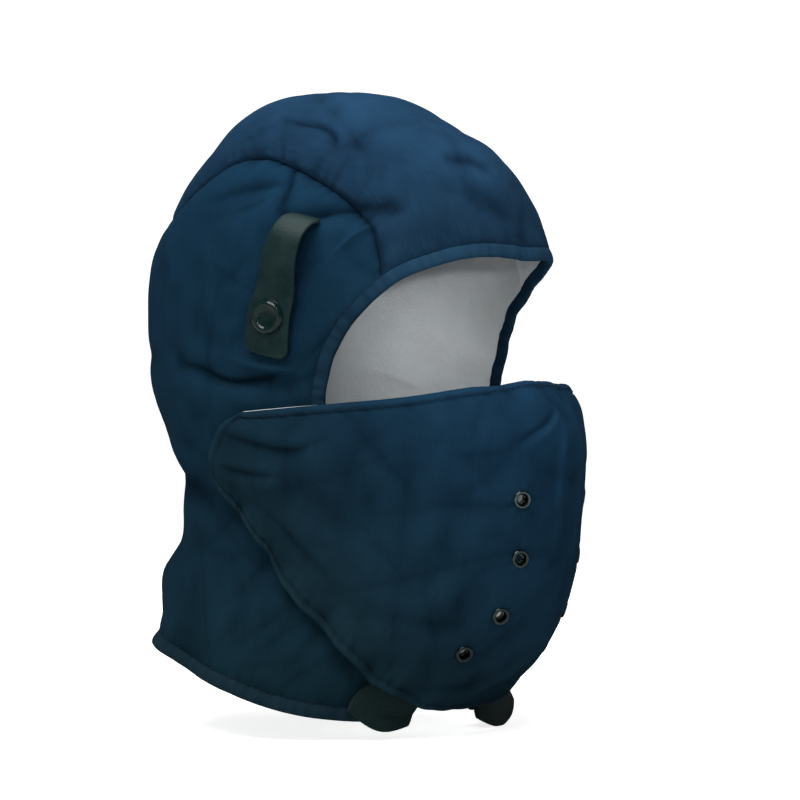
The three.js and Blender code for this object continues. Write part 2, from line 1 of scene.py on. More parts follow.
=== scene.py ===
"""Winter liner for under a safety helmet, in its worn form. It has an add-on's layout and is run as a script.

A padded cotton hood with a neck cape, a mask that wraps from cheek to cheek over a pale lining, and a snap
strap on each side. Tables and surfaces are in millimetres and degrees, and meshes in metres. +Z is up, the
wearer faces -Y and the wearer's right is -X. Angles turn from the front towards the wearer's right.
"""
import json
from collections import namedtuple

import bpy
import numpy as np
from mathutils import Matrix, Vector


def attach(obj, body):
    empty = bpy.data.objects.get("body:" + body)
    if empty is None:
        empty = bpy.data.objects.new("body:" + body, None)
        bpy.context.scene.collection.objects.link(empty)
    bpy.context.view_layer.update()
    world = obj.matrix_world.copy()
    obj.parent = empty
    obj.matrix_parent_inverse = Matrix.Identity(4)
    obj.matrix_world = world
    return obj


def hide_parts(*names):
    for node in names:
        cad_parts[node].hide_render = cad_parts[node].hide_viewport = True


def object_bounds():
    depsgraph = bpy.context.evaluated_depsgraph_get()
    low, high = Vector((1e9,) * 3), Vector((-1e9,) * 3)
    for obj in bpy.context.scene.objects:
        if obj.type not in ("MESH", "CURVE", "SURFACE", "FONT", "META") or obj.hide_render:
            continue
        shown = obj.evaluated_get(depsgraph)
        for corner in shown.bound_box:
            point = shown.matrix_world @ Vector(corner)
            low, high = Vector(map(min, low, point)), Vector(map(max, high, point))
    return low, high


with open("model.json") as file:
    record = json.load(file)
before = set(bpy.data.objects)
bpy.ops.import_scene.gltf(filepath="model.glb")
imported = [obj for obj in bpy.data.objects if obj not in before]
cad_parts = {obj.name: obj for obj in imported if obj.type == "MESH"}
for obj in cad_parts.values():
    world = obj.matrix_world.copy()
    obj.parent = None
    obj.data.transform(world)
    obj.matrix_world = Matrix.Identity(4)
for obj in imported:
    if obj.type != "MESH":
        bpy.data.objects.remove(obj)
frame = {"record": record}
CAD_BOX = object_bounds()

bl_info = {
    "name": "Winter helmet liner",
    "version": (1, 0, 0),
    "blender": (4, 5, 0),
    "location": "3D View > Sidebar > Liner",
    "description": "Cotton hood with a neck cape, a wrap-round mask and two snap straps",
    "category": "Add Mesh",
}

MM = 0.001
STEP, TINY, FINE_ROWS = 1e-3, 1e-9, 6001
TURN = 2 * np.pi
UP = np.array([0.0, 0.0, 1.0])
RIGHT, LEFT, BOTH = 1, -1, 0
SIDE_NAMES = {RIGHT: "right", LEFT: "left"}
SLOT_COLOURS = {entry["slot"]: entry["base_color"] for entry in frame["record"]["materials"]}


def table(names, *rows):
    """Short table as a dict of its columns."""
    return dict(zip(names.split(), np.array(rows, dtype=float).T))


def crease(name, side, sharpness, lean, *rows):
    """Crease along a curved line. sharpness 2 is a bell across the line, 1 a sharp line."""
    return Crease(name, side, sharpness, lean, table("angle drop width depth", *rows))


Crease = namedtuple("Crease", "name side sharpness lean path")
Rolling = namedtuple("Rolling", "wavelength depth")
Crumple = namedtuple("Crumple", "count wavelength patch depth")
Wave = namedtuple("Wave", "height length drift rate")
Focus = namedtuple("Focus", "place reach gain")
Line = namedtuple("Line", "spacing span focus", defaults=[Focus(0.5, 1, 0)])
Tint = namedtuple("Tint", "share low high")
Lamp = namedtuple("Lamp", "name setting up left towards size")

# Hood: half an ellipse at the front and half at the back of each section. The cape's sections rise
# towards the back.
CROWN_TOP = 2.4
NAPE_DROP, HEM_DROP = 195, 286
CAPE_RISE, CAPE_RISE_POWER = 43, 1.5
HOOD = table(
    "drop width front back",
    (0, 0, 0, 0), (4, 28, 30, 24), (14, 48, 53, 42), (30, 63, 80, 55), (52, 74, 98, 73),
    (80, 80.5, 109, 88.5), (110, 83, 113, 90), (140, 83, 112, 87), (168, 79, 108, 77),
    (195, 73, 104, 71), (222, 71, 98, 72), (248, 75, 88, 81), (272, 79.5, 74, 81), (286, 82, 65, 83))
HEM_ROW, BACK = 13, 180
CROWN_GRID = Line(1.0, 190), Line(1.0, 185)
SIDE_GRID = Line(1.3, 215, Focus(0.38, 0.3, 1.2)), Line(1.02, 250, Focus(0.18, 0.3, 0.9))

# Edges of the hood's panels. The seam runs from the temple over the side to the back.
SEAM = table(
    "angle drop",
    (52, 91), (52.5, 78), (54.5, 65), (61, 53), (73, 41), (88, 34), (103, 36), (117, 45), (140, 60),
    (180, 72))
SEAM_END, CROWN_CORNER = 9, 8
FACE_EDGE = table(
    "angle drop",
    (0, 76), (25, 76), (41, 82), (52, 91), (63, 111), (68, 133), (68, 156), (60, 188), (46, 223), (33, 258),
    (23, 278), (20, 286))
TEMPLE, FACE_EDGE_END = 3, 11
SEAM_REACH, SEAM_FADE_ROWS = 8, 2
DITCH_DEPTH, DITCH_REACH, DITCH_FAINT = 0.9, 1.7, 0.3
BACK_PINCH, BACK_REACH, HEM_CALM = 1.3, 7, 12
SEAM_SWELL, SEAM_SWELL_PEAK = 1.1, 10
# Painted top light: the crown is lighter in its middle, which is the top of the hood, and darker near its
# edges, and the sides are lighter near their seam.
CROWN_TOP_LIGHT, CROWN_TOP_LIGHT_LEVEL, SIDE_TOP_LIGHT, TOP_LIGHT_REACH = 0.5, 0.6, 0.3, 60
PUCKER, PUCKER_REACH = Wave(0.32, 7.5, 0.35 * 7.5, 1.7 / 7.5), 5

# Mask: clear of the hood at its sides and further out at the front.
MASK_CLEAR = 6
MASK_FRONTS = table(
    "drop front",
    (130, 109), (140, 119), (152, 127), (168, 130), (195, 128), (222, 126), (245, 117), (262, 105), (276, 90),
    (290, 68))
MASK_TOP = table("angle drop", (0, 134.8), (25, 137.6), (50, 144), (75, 148.5), (86.5, 150.5))
MASK_END = table("angle drop", (86.5, 150.5), (93, 157.5), (98, 168.5), (99, 181))
MASK_LOW = table(
    "angle drop",
    (0, 287), (20, 285), (41, 275), (54, 262), (66, 245), (77, 229), (83, 213), (90, 196.5), (99, 181))
MASK_RADIUS = 100
MASK_HEM, MASK_HEM_SWELL, MASK_HEM_DITCH, MASK_DITCH_WIDTH = 4.2, 0.5, 0.45, 1.0
MASK_LOW_WAVE, MASK_LOW_RAG = Wave(0.5, 0.13, 0.015, 41), Wave(0.3, 0.047, 0.02, 23)
MASK_LOW_CALM, MASK_LOW_POWER = 2.5, 8
MASK_EDGE_WAVE, MASK_EDGE_REACH = Wave(1.0, 30, 30 / TURN, 1 / 19), 12
MASK_CALM_FROM, MASK_CALM_OVER = 25, 30
LINING_SHOWS_FRONT, LINING_SHOWS_END = -0.5, 0.1
LINING_SHOWS_FROM, LINING_SHOWS_OVER = 45, 35
LINING_LOW_INSET, LINING_END_INSET = 1.8, 0.5
LINING_TOP_POWER, LINING_LOW_POWER, LINING_END_POWER = 40, 30, 60
MASK_GRID = Line(1.05, 320), Line(1.1, 148)
LINING_GRID = Line(2.4, 320), Line(2.3, 148)

# Folds along straight lines. Positive depths stand out. lean tips a fold to one side.
FOLD_COLUMNS = "angle drop to_angle to_drop width depth lean"
HOOD_FOLDS = table(
    FOLD_COLUMNS,
    (77, 48, 77.5, 60, 3.5, -0.7, 0.5), (66, 63, 48, 60.5, 6, -2.6, -0.8),
    (64, 79, 53, 68, 6, 0.8, 0), (112, 126, 75, 136, 5.5, -1.2, 0.9), (18, 52, 4, 60, 8, -1.0, 0.5),
    (72, 14, 44, 30, 9, -1.4, 0.6), (150, 178, 95, 192, 12, -2.2, 0.3))
MASK_FOLDS = table(
    FOLD_COLUMNS,
    (92, 155, 70, 165, 7, 1.8, 0.3), (97, 173, 80, 178, 7, 1.5, 0.3))

# Creases, finer than the folds.
CREASE_SAMPLES = 25
HOOD_CREASES = [
    crease("hook on the crown", RIGHT, 1.3, 0.4,
        (90, 14, 2, 0), (76, 16, 2.2, -1.6), (66, 17.5, 2.2, -1.9), (61, 22, 2.2, -1.9), (62.5, 31, 2, 0)),
    crease("dent at the front of the crown", RIGHT, 1.5, 0.5,
        (27, 37, 4, 0), (20, 35, 4.2, -2.3), (11, 35, 4.5, -2.6), (3, 42, 5, 0)),
    crease("valley at the front of the crown", RIGHT, 2, 0.5,
        (24, 50, 7, 0), (17, 52, 8, -1.0), (9, 57, 8, -1.1), (2, 63, 7, 0)),
    crease("valley from the crown's top", RIGHT, 2, 0.6,
        (78, 11, 8, 0), (66, 17, 9, -1.3), (54, 24, 9, -1.4), (42, 31, 8, 0)),
    crease("dart below the seam", BOTH, 1.2, -0.5,
        (76, 41, 1.1, -1.9), (76.3, 47, 1.2, -2.0), (77.5, 54, 1.2, -1.6), (79, 61, 1.2, 0)),
    crease("ridge behind the dart", BOTH, 1.8, 0,
        (79, 41, 2.4, 0.6), (79.3, 46, 2.4, 0.9), (80.5, 53, 2.4, 0.6), (82, 60, 2.2, 0)),
    crease("wedge behind the dart", BOTH, 1.4, 0.3,
        (77, 48, 3, -0.6), (80.5, 48.2, 3.8, -2.4), (90, 49.8, 3.4, -2.2), (100, 53.2, 3, -1.2),
        (112, 56.5, 3, 0)),
    crease("hollow behind the strap", BOTH, 2, 0.3,
        (116, 64, 7, 0), (102, 58.5, 7, -1.0), (90, 53, 6, -1.4), (79, 50, 5, 0)),
    crease("small crease behind the strap", BOTH, 1.2, -0.4,
        (80, 53, 1.2, 0), (84, 55.5, 1.3, -0.8), (89, 58.5, 1.3, -0.7), (95, 60, 1.2, 0)),
    crease("slit over the strap", BOTH, 1.1, -0.7,
        (80, 61.5, 1.6, 0), (76, 62, 1.6, -1.4), (69, 62.8, 1.8, -1.9), (61, 59.5, 2.2, -1.6),
        (53, 59.2, 2.4, -1.1), (42, 60.5, 3, 0)),
    crease("pull from the temple", BOTH, 1.2, 0,
        (64.5, 80.5, 1, 0), (61.5, 76.3, 1.1, 1.5), (57.5, 71, 1.2, 2.0), (52.5, 66, 1.1, 0)),
    crease("smile below the strap", BOTH, 1.1, 0.7,
        (114, 127.5, 1.6, 0), (104, 130, 1.7, -1.3), (97, 134, 1.8, -2.1), (88.8, 136.5, 1.9, -2.4),
        (81.5, 135, 1.7, -1.8), (75, 132, 1.5, 0)),
    crease("ridge at the strap's end", BOTH, 1.6, 0,
        (90, 127, 2, 0), (85, 129, 2, 0.8), (78, 131.2, 2, 1.0), (71, 132.8, 2, 0)),
    crease("slack behind the strap", BOTH, 1.7, 0.4,
        (100, 95, 5, 0), (93, 88.7, 4.5, -0.9), (86, 81.5, 4.5, -0.9), (81, 74, 4, 0)),
    crease("pull at the cheek", RIGHT, 1.6, 0.4,
        (71, 118, 3, 0), (75, 113, 3, -0.6), (83, 118, 4, -0.9), (95, 116, 4, 0)),
    crease("nape fold", BOTH, 1.8, 0.3,
        (172, 160, 6, 0), (156, 170, 6, -1.4), (135, 182, 6, -1.8), (106, 189, 7, 0)),
    crease("fold at the back of the head", RIGHT, 1.7, 0.4,
        (168, 112, 5, 0), (152, 120, 5, -1.0), (136, 124, 5, -1.0), (120, 121, 5, 0)),
    crease("slant at the back of the head", LEFT, 1.7, 0.4,
        (168, 132, 5, 0), (150, 126, 5, -1.1), (132, 112, 5, -0.9), (118, 104, 5, 0)),
    crease("long valley over the crown", LEFT, 2, 0.5,
        (60, 12, 6, 0), (42, 22, 7, -1.2), (33, 38, 7, -1.4), (31, 55, 6, 0)),
    crease("pull above the cheek", LEFT, 1.6, 0.4,
        (70, 128, 3, 0), (78, 122, 4, -0.9), (88, 112, 4, -0.9), (96, 100, 4, 0)),
]
MASK_CREASES = [
    crease("valley under the cheek end", BOTH, 1.4, 0.5,
        (92, 159, 2.6, 0), (86, 162.5, 3, -2.2), (74, 167, 3.4, -2.5), (65, 161, 4, 0)),
    crease("second valley at the end", BOTH, 1.4, 0.4,
        (95, 174, 2.4, 0), (89, 176.5, 2.6, -1.9), (82, 178.3, 2.6, -1.5), (75, 178, 3, 0)),
    crease("broad cheek valley", BOTH, 2, 0.4,
        (78, 177, 9, 0), (71, 186, 9, -2.2), (65, 195, 9, -2.4), (56, 203, 9, 0)),
    crease("pinch at the bridge", RIGHT, 1.1, 0,
        (23, 167, 1.1, 0), (18, 160.5, 1.2, -0.9), (12.5, 156, 1.3, -1.2), (8, 151, 1.2, -0.8),
        (4.5, 146, 1, 0)),
    crease("crescent under the bridge", RIGHT, 1.3, 0,
        (22, 170, 1.4, 0), (16.5, 163.5, 1.5, 0.5), (11.5, 158.8, 1.5, 0.9), (7, 153, 1.3, 0.8),
        (4, 147.5, 1.2, 0)),
    crease("valley beside the eyelets", RIGHT, 1.8, 0.3,
        (36, 180, 6, 0), (38, 200, 7, -1.1), (41, 222, 7, -1.2), (46, 240, 6, 0)),
    crease("valley above the chin", BOTH, 1.6, 0.4,
        (60, 232, 4, 0), (49, 240, 5, -1.0), (36, 245, 5, -1.0), (28, 246, 4, 0)),
    crease("ridge beside the middle", BOTH, 1.2, 0.2,
        (3, 143, 3.5, 0), (5.5, 158, 4, 1.0), (6.5, 176, 4, 1.1), (6.5, 195, 5, 0.8),
        (6, 225, 6, 0)),
    crease("slack above the lower edge", BOTH, 1.4, 0.5,
        (88, 187, 3, 0), (80, 199, 3, -1.0), (72, 214, 3.4, -1.2), (60, 232, 3, 0)),
    crease("slack across the cheek", LEFT, 1.7, 0.4,
        (58, 168, 5, 0), (48, 182, 6, -1.3), (42, 200, 6, -1.2), (40, 218, 5, 0)),
]
# The left side's folds are shifted and shallower than the right side's.
LEFT_TURN, LEFT_SHIFT, LEFT_GAIN = 1.8, -2.5, 0.75
# Seeded waves: soft rolling, and crisp crumpling in patches.
ROLLINGS = [Rolling(58, 0.6), Rolling(21, 0.2)]
ROLLING_WAVES, ROLLING_SPREAD = 7, (0.8, 1.3)
CRUMPLES = [Crumple(9, 44, 90, 0.9), Crumple(9, 19, 46, 0.3)]
CRUMPLE_SPREAD, CRUMPLE_SHARPNESS = (0.7, 1.3), 0.6
BACK_CALM, BACK_CALM_FROM, BACK_CALM_OVER = 0.45, 105, 35
HOOD_SEED, MASK_SEED = 11, 23

# The cape swings in soft upright folds, bellies out at its back and leans out in a corner of its hem.
CAPE_FOLD, CAPE_FOLD_FROM, CAPE_FOLD_OVER = Wave(1.3, 40, 40 / TURN, np.radians(3)), 50, 30
CAPE_BELLY, CAPE_BELLY_AT, CAPE_BELLY_REACH = 2.6, 150, 30
HEM_LEAN, HEM_LEAN_AT, HEM_LEAN_REACH = 0.7, 133, 8

# Strap: lift is its inner face's height over the hood.
STRAP = table(
    "angle drop width lift",
    (71.4, 64.5, 15, 0.5), (72.2, 67, 15.2, 5.4), (73.9, 73, 15.6, 8.3), (75.8, 83.5, 17, 7.4),
    (77, 96, 19.2, 4.6), (79, 108, 21.5, 3), (79.9, 125, 22.5, 1.6))
STRAP_ROOT, STRAP_END, STRAP_SNAP = -0.3, 6, 5
STRAP_CORNER, STRAP_CAMBER = 5.0, 0.35
# Painted highlight that lightens the strap round its bend.
STRAP_BEND, STRAP_BEND_REACH, STRAP_BEND_HIGHLIGHT = 0.9, 1.0, 0.8
STRAP_STEPS = np.concatenate([np.linspace(0, 0.9, 90), np.linspace(0.902, 1, 40)])
STRAP_FLAT_COUNT, STRAP_BEND_COUNT = 13, 5

# Rolled hems: a flattened oval that laps over the panel's edge. The cheeks' part is darker: painted shade.
ROLL_SIDES, ROLL_FLATNESS, ROLL_COUNT, ROLL_LAP = 18, 0.72, 360, 1.1
# The hems' painted shading sits at a level and is lighter where their gathers swell.
ROLL_TIP, ROLL_GATHER, ROLL_SHADING_LEVEL, ROLL_GIRTH = 0.97, 0.07, 0.5, 0.016
CHEEK_SHADE, CHEEK_FROM, CHEEK_OVER = 0.32, 42, 20

# Stitch: a spindle's steps along its length, and how its middle rises and its ends sink.
STITCH_RUN, STITCH_SIDES = np.array([-0.95, -0.55, 0, 0.55, 0.95]), 6
STITCH_RISE, STITCH_SINK = 0.35, 0.75

# Turned pieces: radius and height over the face that they stand on.
SNAP_CAP = table(
    "radius height",
    (0, 0), (7.4, 0), (7.85, 0.3), (7.75, 0.95), (7.2, 1.9), (6.4, 2.5), (5.7, 2.6), (5.0, 2.3), (4.4, 1.85),
    (3, 1.72), (0, 1.7))
SNAP_SOCKET = table("radius height", (0, 0), (4.7, 0), (5, -0.3), (5, -1.7), (4.7, -2), (0, -2))
EYELET = table(
    "radius height",
    (1.9, -4.2), (2.5, -4.2), (2.5, -1.5), (2.6, 0.1), (3.9, 0.1), (4.05, 0.4), (3.8, 0.8), (3.3, 0.95),
    (2.6, 0.7), (2.1, 0))
# Painted shade inside the eyelets' holes: the nickel darkens within this distance of the axis.
EYELET_DARK, EYELET_DARK_OVER = 3.1, 0.5
# Each eyelet's last value darkens it: painted shade, stronger on the eyelets lower down.
EYELETS = table(
    "angle drop tarnish", (19.8, 189, 0), (19.5, 215.5, 0.35), (21, 241, 0.6), (25.5, 258.5, 0.7))
EYELET_HOLE = 3.1
EYELET_PRESS, EYELET_PRESS_REACH = 0.5, 5
EYELET_PULL, EYELET_PULL_LOBES, EYELET_PULL_AT, EYELET_PULL_REACH = 0.22, 7, 5.8, 2.2
LATHE_SIDES, LATHE_STEPS = 48, 4

# Chin tabs, and the fastening patches under the mask's ends.
TAB_TOP = table("angle drop", (41, 267), (30, 269), (20, 271))
TAB_LOW = table("angle drop", (48, 286), (34, 294), (20, 293))
TAB_CLEAR, TAB_CORNER, TAB_COUNT = 1.2, 0.3, 44
TAB_FLARE = {RIGHT: 0, LEFT: 17}
TAB_INWARD = {RIGHT: 0, LEFT: 9}
PATCH_ANGLES, PATCH_DROPS = (80, 91), (162, 186)
PATCH_GAP, PATCH_COUNTS = 0.6, (24, 40)

# Grids, the painted shading of the cloth's ridges and valleys, and how far its edge shading and wear reach.
EDGE_LINES = np.array([0.08, 0.25, 0.5, 0.8, 1.2])
FOLD_BLUR_ROUNDS = 80
FOLD_SHADING_GAIN = 0.38
EDGE_SHADE_AND_WEAR_REACH = 2.5
INNER_ROUNDING = 0.25

# Shares of the display colours that the finishes reflect under the stage's bright light.
CROWN_SHARE, SIDE_SHARE, MASK_SHARE, THREAD_SHARE = 0.62, 0.6, 0.75, 0.2
# The face hem and the cape hem share one dye: the face hem's higher share is painted light, the cape hem's
# lower share painted shade.
LIT_FACE_HEM_SHARE, SHADED_CAPE_HEM_SHARE = 0.76, 0.5
# The second share is the vinyl's painted highlight round the strap's bend.
VINYL_SHARE, LIT_VINYL_SHARE = np.array([0.08, 0.46, 0.5]), np.array([2.5, 2.1, 2.1])
FELT_SHARE = np.array([0.55, 0.8, 0.8])
ENAMEL_SHARE, METAL_SHARE = np.array([0.1, 0.9, 0.85]), np.array([0.14, 0.25, 0.27])
# Painted shade: the nickel's share inside the eyelets' holes.
HOLE_SHADE_SHARE = 0.01
# Shift of the cotton's tone near the panels' edges: darker on the hood, painted shade in its seams and along
# its hems, and lighter on the mask, partly rubbing and partly painted highlight on its hems.
HOOD_EDGE_SHADE, MASK_EDGE_WEAR_AND_HIGHLIGHT = -0.4, 0.15
# Noise: its usual range, clouds per metre, and gains and offsets of the cotton's tone.
NOISE_LOW, NOISE_HIGH = 0.3, 0.7
COTTON_CLOUDS, LINING_CLOUDS, FINE_CLOUDS, SLUB_DRAW, NAP_SHARE = 22.0, 45.0, 9.0, 0.04, 0.6
WOBBLES, WOBBLE = 90.0, 0.004
CLOUD_TONE, THREAD_TONE, WEAVE_SHADE = (0.22, -0.11), (0.34, -0.17), (0.08, -0.05)
# Painted light: the cloth is lighter and bluer towards the top of the hood and the front of the mask, and
# darker and less blue elsewhere.
PAINTED_LIGHT_LOW, PAINTED_LIGHT_HIGH, PAINTED_LIGHT_SIDE, PAINTED_LIGHT_FRONT = -0.27, -0.03, 0.0, -0.115
FRONT_SHARE, RISE_SHARE, FRONT_START = 0.5, 0.9, 0.2
HOOD_LIGHT_TINT = Tint("Rise", (1.0, 0.88, 0.6, 1), (1.0, 1.1, 1.02, 1))
MASK_LIGHT_TINT = Tint("Front", (0.9, 0.64, 0.4, 1), (1.1, 1.13, 1.15, 1))

# Area lights, by metres up, left and towards the camera from its target, and a spot into the hood.
LAMPS = [
    Lamp("key_light", "key", 1.75, 0.5, 1.0, 1.3), Lamp("fill_light", "fill", 0.35, 0.5, 2.0, 1.6),
    Lamp("rim_light", "rim", 1.0, -1.2, -1.2, 1.0), Lamp("sparkle_light", "sparkle", 1.3, -0.4, 1.5, 0.12)]
SPOT = Lamp("opening_light", "opening", 0.06, -0.15, 1.4, 0.04)
AIM_UP, AIM_LEFT, SPOT_DEGREES = 0.028, -0.022, 3.7
SENSOR = 36
FLOOR_RINGS, FLOOR_SWEEP, FLOOR_SIDES, FLOOR_START = 20, 24, 96, 0.01


# Curves and patches

def unit(vectors):
    """Vectors scaled to length one."""
    return vectors / np.linalg.norm(vectors, axis=-1, keepdims=True)


def ease(x):
    """Smooth step from 0 to 1."""
    x = np.clip(x, 0, 1)
    return x * x * (3 - 2 * x)


def curve(column, at, before=None):
    """Catmull-Rom curve through a column at fractional rows. before stands in for the row above the first."""
    lead = 2 * column[0] - column[1] if before is None else before
    run = np.concatenate([[lead], column, [2 * column[-1] - column[-2]]])
    first = np.clip(np.floor(at).astype(int), 0, len(column) - 2)
    t = at - first
    a, b, c, d = (run[first + k] for k in range(4))
    return b + 0.5 * t * (c - a + t * (2 * a - 5 * b + 4 * c - d + t * (3 * (b - c) + d - a)))


def row_of(column, value, before=None):
    """Fractional row where a rising column reaches a value: its curve sampled finely and read backwards."""
    rows = np.linspace(0, len(column) - 1, FINE_ROWS)
    return np.interp(value, curve(column, rows, before), rows)


def along(edge, at):
    """Angle and drop of an edge at fractional rows."""
    return curve(edge["angle"], at), curve(edge["drop"], at)


def coons(top, low, start, end, s, t):
    """Place between four edges that meet: both straight blends, less the blend of the corners."""
    zero, one = np.zeros_like(s), np.ones_like(s)
    across, down = s[..., None], t[..., None]
    blends = (1 - down) * top(s) + down * low(s) + (1 - across) * start(t) + across * end(t)
    top_corners = (1 - across) * top(zero) + across * top(one)
    low_corners = (1 - across) * low(zero) + across * low(one)
    return blends - (1 - down) * top_corners - down * low_corners


def wave(given, at):
    """Uneven wave: a sine along a length, whose place drifts to and fro by a sine of its own rate."""
    return given.height * np.sin(TURN * (at + given.drift * np.sin(given.rate * at)) / given.length)


def bell(x, reach):
    """Bell curve: exp of minus the square of x over its reach."""
    return np.exp(-((x / reach) ** 2))


def steps(spacing, span, focus):
    """Steps from 0 to 1 over a span: closer round a focus, and near both ends, where an edge rounds over."""
    fine = np.linspace(0, 1, FINE_ROWS)
    density = 1 + focus.gain * bell(fine - focus.place, focus.reach)
    total = np.cumsum(density) - density[0]
    even = np.interp(np.linspace(0, total[-1], round(span / spacing)), total, fine)
    close = EDGE_LINES / span
    return np.unique(np.concatenate([even, close, 1 - close]))


def grid(lines):
    """Steps across and down, as the two arrays of a grid."""
    return np.meshgrid(*(steps(*line) for line in lines))


# Smooth forms

def hood_section(row):
    """Drop, width, front and back of the hood at fractional rows. The row above the first is mirrored."""
    signs = {"drop": 1, "width": -1, "front": -1, "back": -1}
    return [curve(HOOD[name], row, sign * HOOD[name][1]) for name, sign in signs.items()]


def hood_row(drop):
    """Row of the hood at a drop."""
    return row_of(HOOD["drop"], drop, HOOD["drop"][1])


def cape_share(drop):
    """How far down the cape a drop is, from 0 at the nape to 1 at the hem."""
    return np.clip((drop - NAPE_DROP) / (HEM_DROP - NAPE_DROP), 0, 1)


def hood_form(angle, row):
    """Smooth outer face of the hood: width times sine, reach times cosine, lifted at the cape's back."""
    drop, width, front, back = hood_section(row)
    sine, cosine = np.sin(np.radians(angle)), np.cos(np.radians(angle))
    rise = CAPE_RISE * cape_share(drop) * ((1 - cosine) / 2) ** CAPE_RISE_POWER
    reach = np.where(cosine > 0, front, back)
    return np.stack([-width * sine, -reach * cosine, CROWN_TOP - drop + rise], axis=-1)


def to_chart(angle, row):
    """Polar chart of the hood: the row as radius, turned by the angle."""
    turn = np.radians(angle)
    return np.stack([row * np.sin(turn), row * np.cos(turn)], axis=-1)


def from_chart(x, y):
    """Angle and row of a place on the chart."""
    return np.degrees(np.arctan2(x, y)), np.hypot(x, y)


def hood_normal(angle, row):
    """Outward direction of the hood: the cross product of two short steps on the chart."""
    x, y = np.moveaxis(to_chart(angle, row), -1, 0)
    here = hood_form(*from_chart(x, y))
    beside, below = hood_form(*from_chart(x + STEP, y)), hood_form(*from_chart(x, y + STEP))
    return unit(np.cross(beside - here, below - here))


def mask_form(angle, drop):
    """Smooth outer face of the mask: the hood's section set out, reaching further by the cosine squared."""
    _, width, front, back = hood_section(hood_row(drop))
    sine, cosine = np.sin(np.radians(angle)), np.cos(np.radians(angle))
    side = front + MASK_CLEAR
    tip = curve(MASK_FRONTS["front"], row_of(MASK_FRONTS["drop"], drop))
    reach = np.where(cosine > 0, side + (tip - side) * cosine**2, back + MASK_CLEAR)
    return np.stack([-(width + MASK_CLEAR) * sine, -reach * cosine, CROWN_TOP - drop], axis=-1)


def mask_normal(angle, drop):
    """Outward direction of the mask: the cross product of short steps round it and down it."""
    here = mask_form(angle, drop)
    return unit(np.cross(mask_form(angle + STEP, drop) - here, mask_form(angle, drop + STEP) - here))


# Relief of the cloth

def fold_height(folds, angle, drop, per_degree):
    """Height of straight folds: a bell across each line, tipped by its lean, that fades past its ends."""
    height = np.zeros_like(drop)
    for from_angle, from_drop, to_angle, to_drop, width, depth, lean in zip(*folds.values()):
        line_x = (to_angle - from_angle) * per_degree
        line_y = to_drop - from_drop
        length = np.hypot(line_x, line_y)
        x, y = (angle - from_angle) * per_degree, drop - from_drop
        onward = (x * line_x + y * line_y) / length
        across = (x * line_y - y * line_x) / length / width
        past = np.maximum(np.maximum(0, -onward), onward - length) / width
        height = height + depth * np.exp(-across**2 - past**2) * (1 + lean * across)
    return height


def crease_height(made, angle, drop, per_degree):
    """Height of a crease: exp(-|distance / width| ** sharpness) from the nearest point of its curved line."""
    rows = np.linspace(0, len(made.path["angle"]) - 1, CREASE_SAMPLES)
    line_angle, line_drop = along(made.path, rows)
    scale = per_degree[..., None]
    x = (angle[..., None] - line_angle[:-1]) * scale
    y = drop[..., None] - line_drop[:-1]
    step_x, step_y = np.diff(line_angle) * scale, np.diff(line_drop)
    share = np.clip((x * step_x + y * step_y) / (step_x**2 + step_y**2 + TINY), 0, 1)
    away = np.hypot(x - share * step_x, y - share * step_y)
    nearest = away.argmin(axis=-1)[..., None]
    turn = np.sign(np.take_along_axis(x * step_y - y * step_x, nearest, -1))[..., 0]
    at = (nearest + np.take_along_axis(share, nearest, -1))[..., 0] * rows[1]
    across = turn * np.take_along_axis(away, nearest, -1)[..., 0] / curve(made.path["width"], at)
    depth = curve(made.path["depth"], at)
    return depth * np.exp(-np.abs(across) ** made.sharpness) * (1 + made.lean * across)


def rolling(points, seed):
    """Soft rolling of cloth after long use: plane waves through space in seeded directions, in two sizes."""
    draw = np.random.default_rng(seed)
    height = 0
    for wavelength, depth in ROLLINGS:
        directions = unit(draw.normal(size=(ROLLING_WAVES, 3)))
        lengths = wavelength * draw.uniform(*ROLLING_SPREAD, (ROLLING_WAVES, 1))
        turns = TURN * (points @ (directions / lengths).T) + draw.uniform(0, TURN, ROLLING_WAVES)
        height = height + depth * np.sin(turns).sum(axis=-1) / np.sqrt(ROLLING_WAVES)
    return height + sum(crumpling(points, draw, *crumple) for crumple in CRUMPLES)


def crumpling(points, draw, count, wavelength, patch, depth):
    """Crisp short creases: valleys of |sine| waves through space, each shown only in its own patches."""
    across = unit(draw.normal(size=(count, 3))) / (wavelength * draw.uniform(*CRUMPLE_SPREAD, (count, 1)))
    apart = unit(draw.normal(size=(count, 3))) / (patch * draw.uniform(*CRUMPLE_SPREAD, (count, 1)))
    start, patch_start = draw.uniform(0, TURN, (2, count))
    bend = np.sin(TURN * (points @ apart[:, ::-1].T) + start)
    crests = np.abs(np.sin(np.pi * (points @ across.T) + start + bend)) ** CRUMPLE_SHARPNESS
    patches = np.clip(np.sin(TURN * (points @ apart.T) + patch_start), 0, 1) ** 2
    return depth * ((crests - 1) * patches).sum(axis=-1)


def cape_swing(angle, drop):
    """Upright folds of the cape, a sine round it that grows downwards, and its belly at the back."""
    share, turn = cape_share(drop), np.abs(angle)
    folds = wave(CAPE_FOLD, angle) * share**2 * ease((turn - CAPE_FOLD_FROM) / CAPE_FOLD_OVER)
    return folds + CAPE_BELLY * np.sin(np.pi * share**2) * bell(turn - CAPE_BELLY_AT, CAPE_BELLY_REACH)


